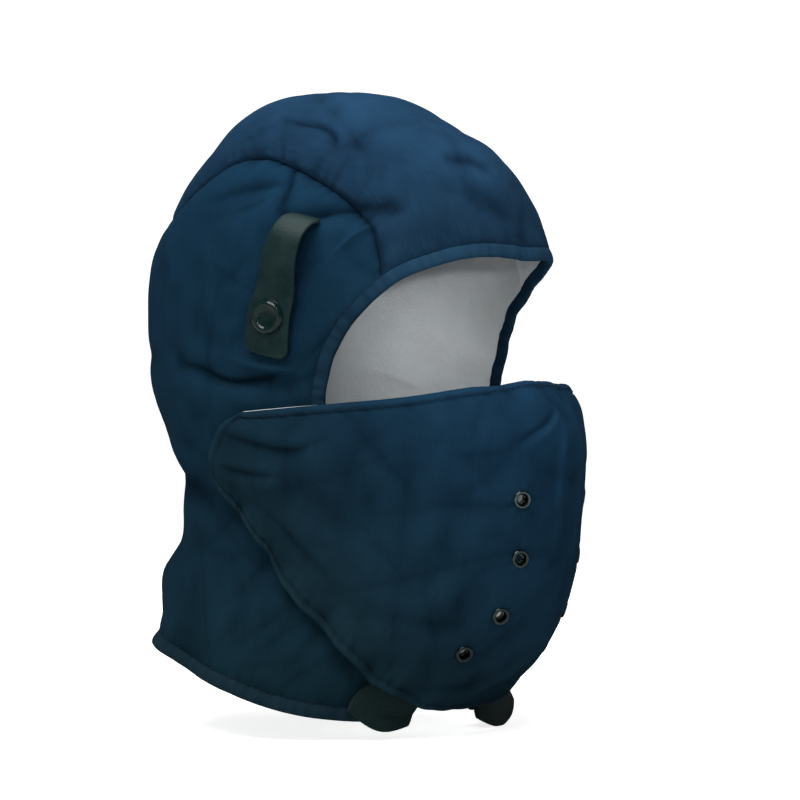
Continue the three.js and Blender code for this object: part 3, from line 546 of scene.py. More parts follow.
def folded(folds, creases, angle, drop, per_degree):
    """Height of folds and creases on both sides, with the left side's shifted and shallower."""
    height = 0
    for side, turn, shift, gain in ((RIGHT, 0, 0, 1), (LEFT, LEFT_TURN, LEFT_SHIFT, LEFT_GAIN)):
        at, down = side * angle + turn, drop + shift
        height = height + gain * fold_height(folds, at, down, per_degree)
        for made in creases:
            if made.side in (BOTH, side):
                height = height + gain * crease_height(made, at, down, per_degree)
    return height


def hood_relief(angle, row):
    """Height of the hood's folds, creases and rolling over its smooth form."""
    drop, width, front, _ = hood_section(row)
    per_degree = np.radians(1) * (width + front) / 2
    height = folded(HOOD_FOLDS, HOOD_CREASES, angle, drop, per_degree) + cape_swing(angle, drop)
    calm = 1 - BACK_CALM * ease((np.abs(angle) - BACK_CALM_FROM) / BACK_CALM_OVER)
    return height + calm * rolling(hood_form(angle, row), HOOD_SEED)


def mask_relief(angle, drop):
    """Height of the mask's folds, creases, rolling and the cloth pressed down round its eyelets."""
    per_degree = np.full_like(drop, np.radians(MASK_RADIUS))
    turn = np.abs(angle)
    height = folded(MASK_FOLDS, MASK_CREASES, angle, drop, per_degree)
    for eyelet_angle, eyelet_drop in zip(EYELETS["angle"], EYELETS["drop"]):
        x, y = (turn - eyelet_angle) * per_degree, drop - eyelet_drop
        away = np.hypot(x, y)
        lobes = np.cos(EYELET_PULL_LOBES * np.arctan2(y, x))
        height = height - EYELET_PRESS * bell(away, EYELET_PRESS_REACH)
        height = height + EYELET_PULL * lobes * bell(away - EYELET_PULL_AT, EYELET_PULL_REACH)
    return height + rolling(mask_form(angle, drop), MASK_SEED)


def pucker(arc, distance):
    """Small gathers along a sewn line: an uneven wave along it that dies away across it."""
    return wave(PUCKER, arc) * np.exp(-distance / PUCKER_REACH)


def swell(distance):
    """Padding that stands up beside a seam: x times exp(1 - x), with its peak at x = 1."""
    x = distance / SEAM_SWELL_PEAK
    return SEAM_SWELL * x * np.exp(1 - x)


def ditch(distance, fade):
    """Narrow pull right at a seam, fainter where the seam fades."""
    return DITCH_DEPTH * bell(distance, DITCH_REACH) * (DITCH_FAINT + (1 - DITCH_FAINT) * fade)


def round_over(distance, radius):
    """Sink of an edge that rounds over in a quarter circle."""
    short = np.clip(radius - distance, 0, radius)
    return radius - np.sqrt(radius**2 - short**2)


def smoothed(values):
    """Values of a grid, averaged with their neighbours again and again."""
    for _ in range(FOLD_BLUR_ROUNDS):
        p = np.pad(values, 1, mode="edge")
        values = values / 2 + (p[:-2, 1:-1] + p[2:, 1:-1] + p[1:-1, :-2] + p[1:-1, 2:]) / 8
    return values


# Cloth panels

Panel = namedtuple("Panel", "outer inner normal uv fold edge")


def lengths_along(points, axis):
    """Length along a grid's lines from their start."""
    spans = np.linalg.norm(np.diff(points, axis=axis), axis=-1)
    start = np.zeros_like(points[..., 0]).take([0], axis=axis)
    return np.concatenate([start, np.cumsum(spans, axis=axis)], axis=axis)


def edge_distances(points):
    """Distances of a grid's points from its first and last row and its first and last column."""
    down, across = lengths_along(points, 0), lengths_along(points, 1)
    return down, down[-1:] - down, across, across[:, -1:] - across


def panel(form, normal, relief, edge_distance, thickness, fade=0):
    """Two faces of a cloth panel: the form raised by its relief, with its edges rounded over.

    The panel's own map is in metres along its grid lines. Its painted shading is lighter on ridges and darker
    in valleys, and is shifted by fade, a painted top light; edge is 1 on the panel's edge."""
    rounding = round_over(edge_distance, thickness / 2)
    outer = form + normal * (relief - rounding)[..., None]
    inner = form + normal * (relief - thickness + INNER_ROUNDING * rounding)[..., None]
    down, _, across, _ = edge_distances(form)
    uv = np.stack([across - across[:, -1:] / 2, down], axis=-1) * MM
    # Painted shading: ridges lighter and valleys darker, the creases' highlight and shade painted into the
    # tone.
    fold = np.clip(0.5 + FOLD_SHADING_GAIN * (relief - smoothed(relief)) + fade, 0, 1)
    return Panel(outer, inner, normal, uv, fold, np.exp(-edge_distance / EDGE_SHADE_AND_WEAR_REACH))


def hood_line(edge, at):
    """Angle and row of an edge of the hood at fractional rows."""
    angle, drop = along(edge, at)
    return np.stack([angle, hood_row(drop)], axis=-1)


def hood_edge(edge, at, side):
    """Chart places of an edge of the hood on one side."""
    place = hood_line(edge, at)
    return to_chart(side * place[..., 0], place[..., 1])


def crown_places(s, t):
    """Angle and row on the crown panel: a Coons patch of the chart between the brow, seams and back."""
    def mirrored(edge, at, s):
        return hood_edge(edge, at, np.where(s < 0.5, RIGHT, LEFT))

    chart = coons(
        lambda s: mirrored(FACE_EDGE, TEMPLE * np.abs(1 - 2 * s), s),
        lambda s: mirrored(SEAM, SEAM_END - (SEAM_END - CROWN_CORNER) * np.abs(1 - 2 * s), s),
        lambda t: hood_edge(SEAM, CROWN_CORNER * t, RIGHT),
        lambda t: hood_edge(SEAM, CROWN_CORNER * t, LEFT), s, t)
    return from_chart(chart[..., 0], chart[..., 1])


def seam_arc(row):
    """Length along the arched seam at fractional rows."""
    fine = np.linspace(0, SEAM_END, FINE_ROWS)
    return np.interp(row, fine, lengths_along(hood_form(*hood_line(SEAM, fine).T), 0))


def crown_panel(cloth):
    """Crown panel, pinched along its seams."""
    s, t = grid(CROWN_GRID)
    angle, row = crown_places(s, t)
    form = hood_form(angle, row)
    top, low, start, end = edge_distances(form)
    side = np.minimum(start, end)
    seam = np.minimum(side, low)
    fade = np.clip(CROWN_CORNER * t / SEAM_FADE_ROWS, 0, 1)
    pulled = cloth.seam_pinch / MM * np.maximum(bell(side, SEAM_REACH) * fade, bell(low, SEAM_REACH))
    pulled = pulled + ditch(seam, fade) + BACK_PINCH * bell(form[..., 0], BACK_REACH) * bell(low, SEAM_REACH)
    low_row = SEAM_END - (SEAM_END - CROWN_CORNER) * np.abs(1 - 2 * s)
    gathers = pucker(seam_arc(np.where(side < low, CROWN_CORNER * t, low_row)), seam)
    relief = hood_relief(angle, row) - pulled + swell(seam) * fade / 2 + gathers
    edge = np.minimum(top, seam)
    # Painted top light: lighter in the crown's middle, darker near its edges.
    top_light = CROWN_TOP_LIGHT * (ease(edge / TOP_LIGHT_REACH) - CROWN_TOP_LIGHT_LEVEL)
    return panel(form, hood_normal(angle, row), relief, edge, cloth.wall / MM, top_light)


def on_hem(s):
    """Angle and row along the hem."""
    first = FACE_EDGE["angle"][-1]
    return np.stack([first + (BACK - first) * s, np.full_like(s, HEM_ROW)], axis=-1)


def side_places(s, t):
    """Angle and row on a side panel: a Coons patch between the seam, the hem, the face edge and the back."""
    def on_back(t):
        first = hood_row(SEAM["drop"][-1])
        return np.stack([np.full_like(t, BACK), first + (HEM_ROW - first) * t], axis=-1)

    place = coons(
        lambda s: hood_line(SEAM, SEAM_END * s), on_hem,
        lambda t: hood_line(FACE_EDGE, TEMPLE + (FACE_EDGE_END - TEMPLE) * t), on_back, s, t)
    return place[..., 0], place[..., 1]


def side_panel(cloth, side):
    """Side panel with its half of the cape, pinched along the seam and up the middle of the back."""
    s, t = grid(SIDE_GRID)
    angle, row = side_places(s, t)
    angle = side * angle
    form = hood_form(angle, row)
    top, low, start, end = edge_distances(form)
    fade = np.clip(SEAM_END * s / SEAM_FADE_ROWS, 0, 1)
    calm = ease(low / HEM_CALM)
    pulled = cloth.seam_pinch / MM * bell(top, SEAM_REACH) * fade + BACK_PINCH * bell(end, BACK_REACH) * calm
    pulled = pulled + ditch(np.minimum(top, end), fade) * calm
    gathers = pucker(seam_arc(SEAM_END * s), top) + pucker(top, end) * calm
    gathers = gathers + (pucker(end, low) + pucker(top, start)) / 2
    relief = hood_relief(angle, row) - pulled + swell(top) * fade + gathers
    edge = np.minimum.reduce([top, low, start, end])
    # Painted top light: lighter near the seam at the side's top.
    top_light = SIDE_TOP_LIGHT * (1 - ease(top / TOP_LIGHT_REACH))
    return panel(form, hood_normal(angle, row), relief, edge, cloth.wall / MM, top_light)


def mask_places(s, t):
    """Angle and drop on the mask: a Coons patch of its right half, mirrored."""
    def on_edge(edge):
        last = len(edge["angle"]) - 1
        return lambda at: np.stack(along(edge, last * at), axis=-1)

    def middle(t):
        top, low = MASK_TOP["drop"][0], MASK_LOW["drop"][0]
        return np.stack([np.zeros_like(t), top + (low - top) * t], axis=-1)

    from_middle = np.abs(2 * s - 1)
    place = coons(on_edge(MASK_TOP), on_edge(MASK_LOW), middle, on_edge(MASK_END), from_middle, t)
    ragged = wave(MASK_LOW_WAVE, from_middle) + wave(MASK_LOW_RAG, s)
    ragged = ragged * ease(from_middle * MASK_LOW_CALM) * t**MASK_LOW_POWER
    return np.sign(s - 0.5) * place[..., 0], place[..., 1] + ragged


def mask_hem_relief(form):
    """Hem of the mask: a soft roll inside the stitched ditch, and a lower edge that waves."""
    top, low, start, end = edge_distances(form)
    edge = np.minimum.reduce([top, low, start, end])
    roll = MASK_HEM_SWELL * np.sin(np.pi * np.clip(edge / MASK_HEM, 0, 1))
    sewn = MASK_HEM_DITCH * bell(edge - MASK_HEM, MASK_DITCH_WIDTH)
    calm = ease((np.abs(start - end) / 2 - MASK_CALM_FROM) / MASK_CALM_OVER)
    waving = wave(MASK_EDGE_WAVE, start) * bell(low, MASK_EDGE_REACH) * calm
    gathers = pucker(start, np.abs(low - MASK_HEM)) * calm + pucker(start, np.abs(top - MASK_HEM)) / 2
    return roll - sewn + waving + gathers, edge


def mask_panel(cloth):
    """Face cloth of the mask."""
    s, t = grid(MASK_GRID)
    angle, drop = mask_places(s, t)
    form = mask_form(angle, drop)
    hem, edge = mask_hem_relief(form)
    return panel(form, mask_normal(angle, drop), mask_relief(angle, drop) + hem, edge, cloth.mask_wall / MM)


def mask_lining(cloth):
    """Lining of the mask, against its face cloth. It shows past the upper edge and the ends."""
    s, t = grid(LINING_GRID)
    angle, drop = mask_places(s, t)
    hem, edge = mask_hem_relief(mask_form(angle, drop))
    at_end = ease((np.abs(angle) - LINING_SHOWS_FROM) / LINING_SHOWS_OVER)
    shows = LINING_SHOWS_FRONT + (LINING_SHOWS_END - LINING_SHOWS_FRONT) * at_end
    angle_out = angle - np.sign(angle) * LINING_END_INSET * np.abs(2 * s - 1) ** LINING_END_POWER
    drop_out = drop - shows * (1 - t) ** LINING_TOP_POWER - LINING_LOW_INSET * t**LINING_LOW_POWER
    form = mask_form(angle_out, drop_out)
    relief = mask_relief(angle, drop) + hem - cloth.mask_wall / MM
    return panel(form, mask_normal(angle_out, drop_out), relief, edge, cloth.lining_wall / MM)


def eyelet_stands():
    """Feet and outward directions of the eyelets on the mask's face, the right side's first."""
    angle = np.concatenate([side * EYELETS["angle"] for side in (RIGHT, LEFT)])
    drop = np.tile(EYELETS["drop"], 2)
    normal = mask_normal(angle, drop)
    return mask_form(angle, drop) + normal * mask_relief(angle, drop)[:, None], normal


def pierce(piece):
    """Panel with a round hole for each eyelet: points near an axis move out to the hole's edge.

    Returns the panel and the quads that the holes leave out."""
    def any_corner(flags):
        return flags[:-1, :-1] | flags[1:, :-1] | flags[:-1, 1:] | flags[1:, 1:]

    def off_axis(points, foot, normal):
        offset = points - foot
        flat = offset - (offset @ normal)[..., None] * normal
        return flat, np.linalg.norm(flat, axis=-1)

    outer, inner = piece.outer.copy(), piece.inner.copy()
    missing = np.zeros((outer.shape[0] - 1, outer.shape[1] - 1), bool)
    for foot, normal in zip(*eyelet_stands()):
        _, away = off_axis(piece.outer, foot, normal)
        inside = away < EYELET_HOLE
        hole = any_corner(inside)
        missing |= hole
        rim = any_corner(np.pad(hole, 1)) & ~inside
        for face in (outer, inner):
            flat, reach = off_axis(face[rim], foot, normal)
            face[rim] += flat * (EYELET_HOLE / reach - 1)[:, None]
    return piece._replace(outer=outer, inner=inner), missing


# Other surfaces

def circle(count):
    """Cosines and sines of even steps of a full turn."""
    turn = np.linspace(0, TURN, count, endpoint=False)
    return np.cos(turn), np.sin(turn)


def edge_roll(angle, row, width, thickness, away, wall, lean=0):
    """Rolled hem along a run of places: a flattened oval beside the panel's edge, puckered and tapered shut.

    It leans out from the panel by a slope, which is 0 where it lies along it.

    Returns its rings, the length along it and its painted shading, which is lighter on the crests of its
    gathers."""
    normal = hood_normal(angle, row)
    edge = hood_form(angle, row) + normal * hood_relief(angle, row)[:, None]
    tangent = unit(np.gradient(edge, axis=0))
    lean = np.broadcast_to(lean, angle.shape)[:, None]
    out = unit(away * unit(np.cross(tangent, normal)) + lean * normal)
    normal = away * unit(np.cross(out, tangent))
    arc = lengths_along(edge, 0)
    end = np.minimum(arc, arc[-1] - arc)
    taper = np.sqrt(1 - np.clip(1 - end / (width / 2), 0, ROLL_TIP) ** 2)
    gather = 1 + wave(PUCKER._replace(height=ROLL_GATHER), arc)
    centre = edge + out * (width / 2 - ROLL_LAP) - normal * (wall / 2)
    flat, high = (np.sign(part) * np.abs(part) ** ROLL_FLATNESS for part in circle(ROLL_SIDES))
    across = (width / 2 * taper)[:, None] * flat
    lift = (thickness / 2 * taper * gather)[:, None] * high
    rings = centre[:, None] + out[:, None] * across[..., None] + normal[:, None] * lift[..., None]
    return rings, arc, gather - ROLL_SHADING_LEVEL


def both_sides(angle, row):
    """A run of places from the left end to the right one, from its right half."""
    return np.concatenate([-angle[:0:-1], angle]), np.concatenate([row[:0:-1], row])


def face_edge_run():
    """Places along the whole face edge."""
    return both_sides(*hood_line(FACE_EDGE, np.linspace(0, FACE_EDGE_END, ROLL_COUNT)).T)


def hem_run():
    """Places along the whole hem, round the back."""
    return both_sides(*on_hem(np.linspace(1, 0, ROLL_COUNT)).T)


def strap_frame(at, side):
    """Middle of the strap's inner face, its sideways direction and its outward one, at fractional rows."""
    def middle(rows):
        angle, drop = along(STRAP, rows)
        row = hood_row(drop)
        lift = curve(STRAP["lift"], rows)
        return hood_form(side * angle, row) + hood_normal(side * angle, row) * lift[:, None]

    angle, drop = along(STRAP, at)
    normal = hood_normal(side * angle, hood_row(drop))
    ends = hood_form(side * STRAP["angle"][[0, -1]], hood_row(STRAP["drop"][[0, -1]]))
    across = unit(np.cross(ends[1] - ends[0], normal))
    onward = unit(middle(at + STEP) - middle(at - STEP))
    return middle(at), across, unit(np.cross(across, onward))


def strap_rings(side, wall):
    """Strap: a cambered strip with rounded edges carried along its route, with round corners at its end.

    Returns its rings, the length along it and its painted highlight, which is a bell round the bend."""
    at = STRAP_ROOT + (STRAP_END - STRAP_ROOT) * STRAP_STEPS
    middle, across, outward = strap_frame(at, side)
    arc = lengths_along(middle, 0)
    end = np.clip(arc[-1] - arc, 0, STRAP_CORNER)
    width = curve(STRAP["width"], np.clip(at, 0, STRAP_END)) / 2
    width = width - STRAP_CORNER + np.sqrt(STRAP_CORNER**2 - (STRAP_CORNER - end) ** 2)
    half = wall / 2
    run = np.linspace(-1, 1, STRAP_FLAT_COUNT)
    bend = np.linspace(np.pi / 2, -np.pi / 2, STRAP_BEND_COUNT + 2)[1:-1]
    flat = np.concatenate([run, 0 * bend + 1, run[::-1], 0 * bend - 1])
    side_out = np.concatenate([0 * run, np.cos(bend), 0 * run, -np.cos(bend)])
    high = np.concatenate([0 * run + 1, np.sin(bend), 0 * run - 1, -np.sin(bend)])
    offset = flat * (width - half)[:, None] + side_out * half
    lift = half + high * half - STRAP_CAMBER * flat**2 + STRAP_CAMBER / 2
    rings = middle[:, None] + across[:, None] * offset[..., None] + outward[:, None] * lift[..., None]
    return rings, arc, STRAP_BEND_HIGHLIGHT * bell(at - STRAP_BEND, STRAP_BEND_REACH)


def turned(profile, foot, axis, closed):
    """Surface of revolution about an axis: a smooth profile's radius and height, turned in a full circle."""
    count = len(profile["radius"])
    at = np.linspace(0, count - 1, (count - 1) * LATHE_STEPS + 1)
    radius, height = np.maximum(curve(profile["radius"], at), 0), curve(profile["height"], at)
    if not closed:
        radius, height = radius[1:-1], height[1:-1]
    level = unit(np.cross(axis, UP))
    upright = np.cross(axis, level)
    cosine, sine = circle(LATHE_SIDES)
    spoke = level * cosine[:, None] + upright * sine[:, None]
    return foot + radius[:, None, None] * spoke + height[:, None, None] * axis


def tab_panel(side, thickness):
    """Chin tab: it follows the cape, hangs straight below the hem and curls away, with rounded corners.

    A square grid is drawn in at its corners: each parameter times the root of 1 less a share of the other's
    square."""
    x, y = np.meshgrid(*[np.linspace(-1, 1, TAB_COUNT)] * 2)
    s = 0.5 + 0.5 * x * np.sqrt(1 - TAB_CORNER * y**2)
    t = 0.5 + 0.5 * y * np.sqrt(1 - TAB_CORNER * x**2)
    last = len(TAB_TOP["angle"]) - 1
    top, low = along(TAB_TOP, last * s), along(TAB_LOW, last * s)
    angle = side * (top[0] + (low[0] - top[0]) * t - TAB_INWARD[side] * s * t)
    drop = top[1] + (low[1] - top[1]) * t
    below = np.maximum(0, drop - HEM_DROP)
    row = hood_row(drop - below)
    normal = hood_normal(angle, row)
    form = hood_form(angle, row) - below[..., None] * UP
    lift = TAB_CLEAR + thickness + TAB_FLARE[side] * t**2 * (1 - s)
    edge = np.minimum.reduce(edge_distances(form))
    return panel(form, normal, lift + rolling(form, MASK_SEED) / 2, edge, thickness)


def patch_panel(side, thickness):
    """Fastening patch on the hood under the mask's end."""
    s, t = np.meshgrid(*(np.linspace(0, 1, count) for count in PATCH_COUNTS))
    angle = side * (PATCH_ANGLES[0] + (PATCH_ANGLES[1] - PATCH_ANGLES[0]) * s)
    row = hood_row(PATCH_DROPS[0] + (PATCH_DROPS[1] - PATCH_DROPS[0]) * t)
    form = hood_form(angle, row)
    edge = np.minimum.reduce(edge_distances(form))
    relief = hood_relief(angle, row) + PATCH_GAP + thickness
    return panel(form, hood_normal(angle, row), relief, edge, thickness)


def inset_line(outer, normal, distance):
    """Points and outward directions on a panel's outer face at a distance from its first row.

    Each column is read between the two rows that the distance lies between."""
    away = lengths_along(outer, 0)
    after = (away < distance).sum(axis=0)[None]
    near, far = np.take_along_axis(away, after - 1, 0), np.take_along_axis(away, after, 0)
    share = ((distance - near) / (far - near))[0, :, None]

    def between(values):
        first, second = (np.take_along_axis(values, index[..., None], 0)[0] for index in (after - 1, after))
        return first + (second - first) * share

    return between(outer), between(normal)


def stitches(points, normals, length, pitch, thickness):
    """Row of stitches on a line: short spindles at even steps of its length, sunk at their ends.

    Returns all points and the faces of their joined tubes."""
    arc = lengths_along(points, 0)
    centre_at = np.arange(pitch / 2, arc[-1], pitch)

    def resampled(values):
        return np.stack([np.interp(centre_at, arc, values[:, k]) for k in range(3)], axis=-1)

    centre, up = resampled(points), unit(resampled(normals))
    onward = resampled(np.gradient(points, axis=0))
    onward = unit(onward - up * (onward * up).sum(-1, keepdims=True))
    sideways = np.cross(up, onward)
    run = STITCH_RUN[:, None]
    radius = thickness / 2 * np.sqrt(1 - run**2)
    cosine, sine = circle(STITCH_SIDES)
    rise = radius * sine + thickness * (STITCH_RISE - STITCH_SINK * run**2)
    spindle = np.stack(np.broadcast_arrays(run * length / 2, radius * cosine, rise), axis=-1)
    frames = np.stack([onward, sideways, up], axis=1)
    body = centre[:, None] + spindle.reshape(-1, 3) @ frames
    _, faces = tube(body[0].reshape(spindle.shape))
    ends = body[:, :STITCH_SIDES], body[:, -STITCH_SIDES:]
    poles = np.stack([end.mean(axis=1) for end in ends], axis=1)
    body = np.concatenate([body, poles], axis=1)
    first = np.arange(len(body))[:, None, None] * body.shape[1]
    return body.reshape(-1, 3), [(part + first).reshape(-1, part.shape[1]) for part in faces]


# Meshes

def tube(rings, closed=False):
    """Skin over rings of points. Its ends are closed by fans, or joined to each other where it is closed."""
    count, sides = rings.shape[:2]
    index = np.arange(count * sides).reshape(count, sides)
    onward = np.roll(index, -1, axis=0) if closed else index[1:]
    here = index if closed else index[:-1]
    quads = np.stack([here, np.roll(here, -1, 1), np.roll(onward, -1, 1), onward], axis=-1).reshape(-1, 4)
    points = rings.reshape(-1, 3)
    if closed:
        return points, [quads]
    first, last = count * sides, count * sides + 1
    start = np.stack([np.full(sides, first), np.roll(index[0], -1), index[0]], axis=-1)
    end = np.stack([np.full(sides, last), index[-1], np.roll(index[-1], -1)], axis=-1)
    poles = np.stack([rings[0].mean(axis=0), rings[-1].mean(axis=0)])
    return np.concatenate([points, poles]), [quads, start, end]


def wall(piece, missing=None):
    """Closed wall between a panel's two faces. Quads join the faces at its rim and round its holes.

    Returns points, faces, and for each face 1 where it is the inner one."""
    rows, columns = piece.outer.shape[:2]
    layer = rows * columns
    index = np.arange(layer).reshape(rows, columns)
    kept = np.ones((rows - 1, columns - 1), bool) if missing is None else ~missing
    corners = [index[:-1, :-1], index[:-1, 1:], index[1:, 1:], index[1:, :-1]]
    outer = np.stack(corners, axis=-1)[kept]
    framed = np.pad(kept, 1)
    beyond = [framed[:-2, 1:-1], framed[1:-1, 2:], framed[2:, 1:-1], framed[1:-1, :-2]]
    rims = []
    for k in range(4):
        bare = kept & ~beyond[k]
        a, b = corners[k][bare], corners[(k + 1) % 4][bare]
        rims.append(np.stack([b, a, a + layer, b + layer], axis=-1))
    inner = outer[:, ::-1] + layer
    faces = np.concatenate([outer, *rims, inner])
    inside = np.zeros(len(faces), int)
    inside[-len(inner):] = 1
    return np.concatenate([piece.outer.reshape(-1, 3), piece.inner.reshape(-1, 3)]), faces, inside


def signed_volume(points, faces):
    """Volume that faces close in, negative where they point inwards: the sum of fans from the origin."""
    volume = 0
    for part in faces:
        corners = points[part]
        for k in range(1, part.shape[1] - 1):
            volume += (corners[:, 0] * np.cross(corners[:, k], corners[:, k + 1])).sum() / 6
    return volume


def new_piece(name, points, faces, materials, nodes, inside=None, uv=None, values=None):
    """Smooth mesh object from points in millimetres, with its faces turned outwards.

    uv is a map in metres and values holds point attributes, both given point by point. The piece rides on the
    frame and stands for its nodes."""
    if signed_volume(points, faces) < 0:
        faces = [part[:, ::-1] for part in faces]
    used, packed = np.unique(np.concatenate([part.ravel() for part in faces]), return_inverse=True)
    sizes = np.concatenate([np.full(len(part), part.shape[1]) for part in faces])
    mesh = bpy.data.meshes.new(name)
    mesh.vertices.add(len(used))
    mesh.vertices.foreach_set("co", (points[used] * MM).ravel())
    mesh.loops.add(len(packed))
    mesh.loops.foreach_set("vertex_index", packed.astype(np.int32))
    mesh.polygons.add(len(sizes))
    mesh.polygons.foreach_set("loop_start", np.concatenate([[0], np.cumsum(sizes)[:-1]]).astype(np.int32))
    mesh.polygons.foreach_set("use_smooth", np.ones(len(sizes), bool))
    if inside is not None:
        mesh.polygons.foreach_set("material_index", inside.astype(np.int32))
    if uv is not None:
        layer = mesh.uv_layers.new(name="cloth")
        layer.data.foreach_set("uv", uv[used][packed].astype(np.float32).ravel())
    for key, value in (values or {}).items():
        mesh.attributes.new(key, "FLOAT", "POINT").data.foreach_set("value", value[used].astype(np.float32))
    mesh.update(calc_edges=True)
    mesh.validate()
    for material in materials:
        mesh.materials.append(material)
    piece = bpy.data.objects.new(name, mesh)
    bpy.context.collection.objects.link(piece)
    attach(piece, "root")
    if nodes:
        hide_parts(*nodes)
    return piece


def cloth_piece(name, piece, materials, nodes, missing=None):
    """Object of a cloth panel. Its inner face takes the second material, if there is one."""
    points, faces, inside = wall(piece, missing)

    def twice(values):
        flat = values.reshape(-1, *values.shape[2:])
        return np.concatenate([flat, flat])

    return new_piece(
        name, points, [faces], materials, nodes, inside=inside if len(materials) > 1 else None,
        uv=twice(piece.uv), values={"fold": twice(piece.fold), "edge": twice(piece.edge)})


def roll_piece(name, rings, arc, shading_and_wear, material, slot, nodes):
    """Object of a tube, with its map along it and round it and its painted shading."""
    points, faces = tube(rings)
    around = np.arange(rings.shape[1]) / rings.shape[1] * ROLL_GIRTH
    uv = np.stack(np.broadcast_arrays(arc[:, None] * MM, around), axis=-1).reshape(-1, 2)
    uv = np.concatenate([uv, uv[[0, -1]]])
    fold = np.concatenate([np.repeat(shading_and_wear, rings.shape[1]), shading_and_wear[[0, -1]]])
    values = {"fold": fold, "edge": 0 * fold}
    return new_piece(name, points, faces, [material], nodes, uv=uv, values=values)


# Materials

def linear(colour):
    """Linear values of a display colour: the standard display curve undone."""
    shown = np.asarray(colour, dtype=float)
    return np.where(shown <= 0.04045, shown / 12.92, ((shown + 0.055) / 1.055) ** 2.4).tolist()


def tinted(colour, factor):
    """A colour times a factor, which may be three, with full alpha."""
    return (*np.minimum(1, np.asarray(colour) * factor), 1)


def shades(colour, factor, low, high):
    """Two shades of a colour: it times a factor and a gain for each."""
    return tinted(colour, factor * low), tinted(colour, factor * high)


class Tree:
    """Adds nodes to a node tree and links them."""

    def __init__(self, tree):
        self.tree = tree

    def add(self, kind, inputs=(), **settings):
        """New node with settings, and with values or links put into its inputs."""
        node = self.tree.nodes.new(kind)
        for key, value in settings.items():
            setattr(node, key, value)
        for key, value in dict(inputs).items():
            self.put(node.inputs[key], value)
        return node

    def put(self, socket, value):
        """Link a socket to an input, or set the input's own value."""
        if isinstance(value, bpy.types.NodeSocket):
            self.tree.links.new(value, socket)
        else:
            socket.default_value = value

    def math(self, operation, *values, clamp=False):
        """Output of a Math node."""
        node = self.add("ShaderNodeMath", enumerate(values), operation=operation, use_clamp=clamp)
        return node.outputs[0]

    def span(self, value, low=0.0, high=1.0, to_low=0.0, to_high=1.0):
        """A value mapped from one range to another, and held there."""
        node = self.add("ShaderNodeMapRange", {0: value, 1: low, 2: high, 3: to_low, 4: to_high})
        return node.outputs[0]

    def mix(self, factor, first, second, blend="MIX"):
        """Colour between two colours, or their product."""
        inputs = {0: factor, 6: first, 7: second}
        return self.add("ShaderNodeMix", inputs, data_type="RGBA", blend_type=blend).outputs[2]

    def noise(self, vector, scale, detail=2.0, roughness=0.5):
        """Noise value at a vector, with a scale per metre."""
        inputs = {"Vector": vector, "Scale": scale, "Detail": detail, "Roughness": roughness}
        return self.add("ShaderNodeTexNoise", inputs).outputs[0]

    def spread(self, noise, low, high):
        """A noise's usual range mapped to another one."""
        return self.span(noise, NOISE_LOW, NOISE_HIGH, low, high)

    def weigh(self, first, share, second, other):
        """Sum of two values times their shares."""
        return self.math("ADD", self.math("MULTIPLY", first, share), self.math("MULTIPLY", second, other))

    def place(self):
        """Object coordinates."""
        return self.add("ShaderNodeTexCoord").outputs["Object"]

    def attribute(self, name):
        """Value of a point attribute."""
        return self.add("ShaderNodeAttribute", attribute_name=name).outputs["Fac"]

    def group(self, name, make, value):
        """Outputs of a shared group with a value in its one input. It is made where it is first used."""
        tree = bpy.data.node_groups.get(name) or make(name)
        return self.add("ShaderNodeGroup", {0: value}, node_tree=tree).outputs


def new_group(name, given, outputs):
    """Empty shader node group with float sockets. Returns the group, its tree, its input and its outputs."""
    group = bpy.data.node_groups.new(name, "ShaderNodeTree")
    for way, sockets in (("INPUT", [given]), ("OUTPUT", outputs)):
        for socket in sockets:
            group.interface.new_socket(socket, in_out=way, socket_type="NodeSocketFloat")
    tree = Tree(group)
    return group, tree, tree.add("NodeGroupInput").outputs[0], tree.add("NodeGroupOutput").inputs


def weave_group(name):
    """Plain weave on the cloth's own map: two sets of rounded threads that pass over and under each other."""
    group, tree, pitch, result = new_group(name, "Threads per metre", ("Height", "Thread"))
    chart = tree.add("ShaderNodeUVMap", uv_map="cloth").outputs[0]
    wobble = tree.math("MULTIPLY", tree.noise(chart, WOBBLES), WOBBLE)
    parts = tree.add("ShaderNodeSeparateXYZ", {0: chart}).outputs
    warp, weft = (tree.math("MULTIPLY", tree.math("ADD", parts[k], wobble), pitch) for k in (0, 1))
    warp_round, weft_round = (
        tree.math("ABSOLUTE", tree.math("SINE", tree.math("MULTIPLY", v, np.pi))) for v in (warp, weft))
    over = tree.math("PINGPONG", tree.math("ADD", tree.math("FLOOR", warp), tree.math("FLOOR", weft)), 1.0)
    under = tree.math("SUBTRACT", 1.0, over)
    drawn = tree.add("ShaderNodeCombineXYZ", {0: warp, 1: tree.math("MULTIPLY", weft, SLUB_DRAW)}).outputs[0]
    tree.put(result["Height"], tree.weigh(over, warp_round, under, weft_round))
    tree.put(result["Thread"], tree.noise(drawn, scale=1.0))
    return group


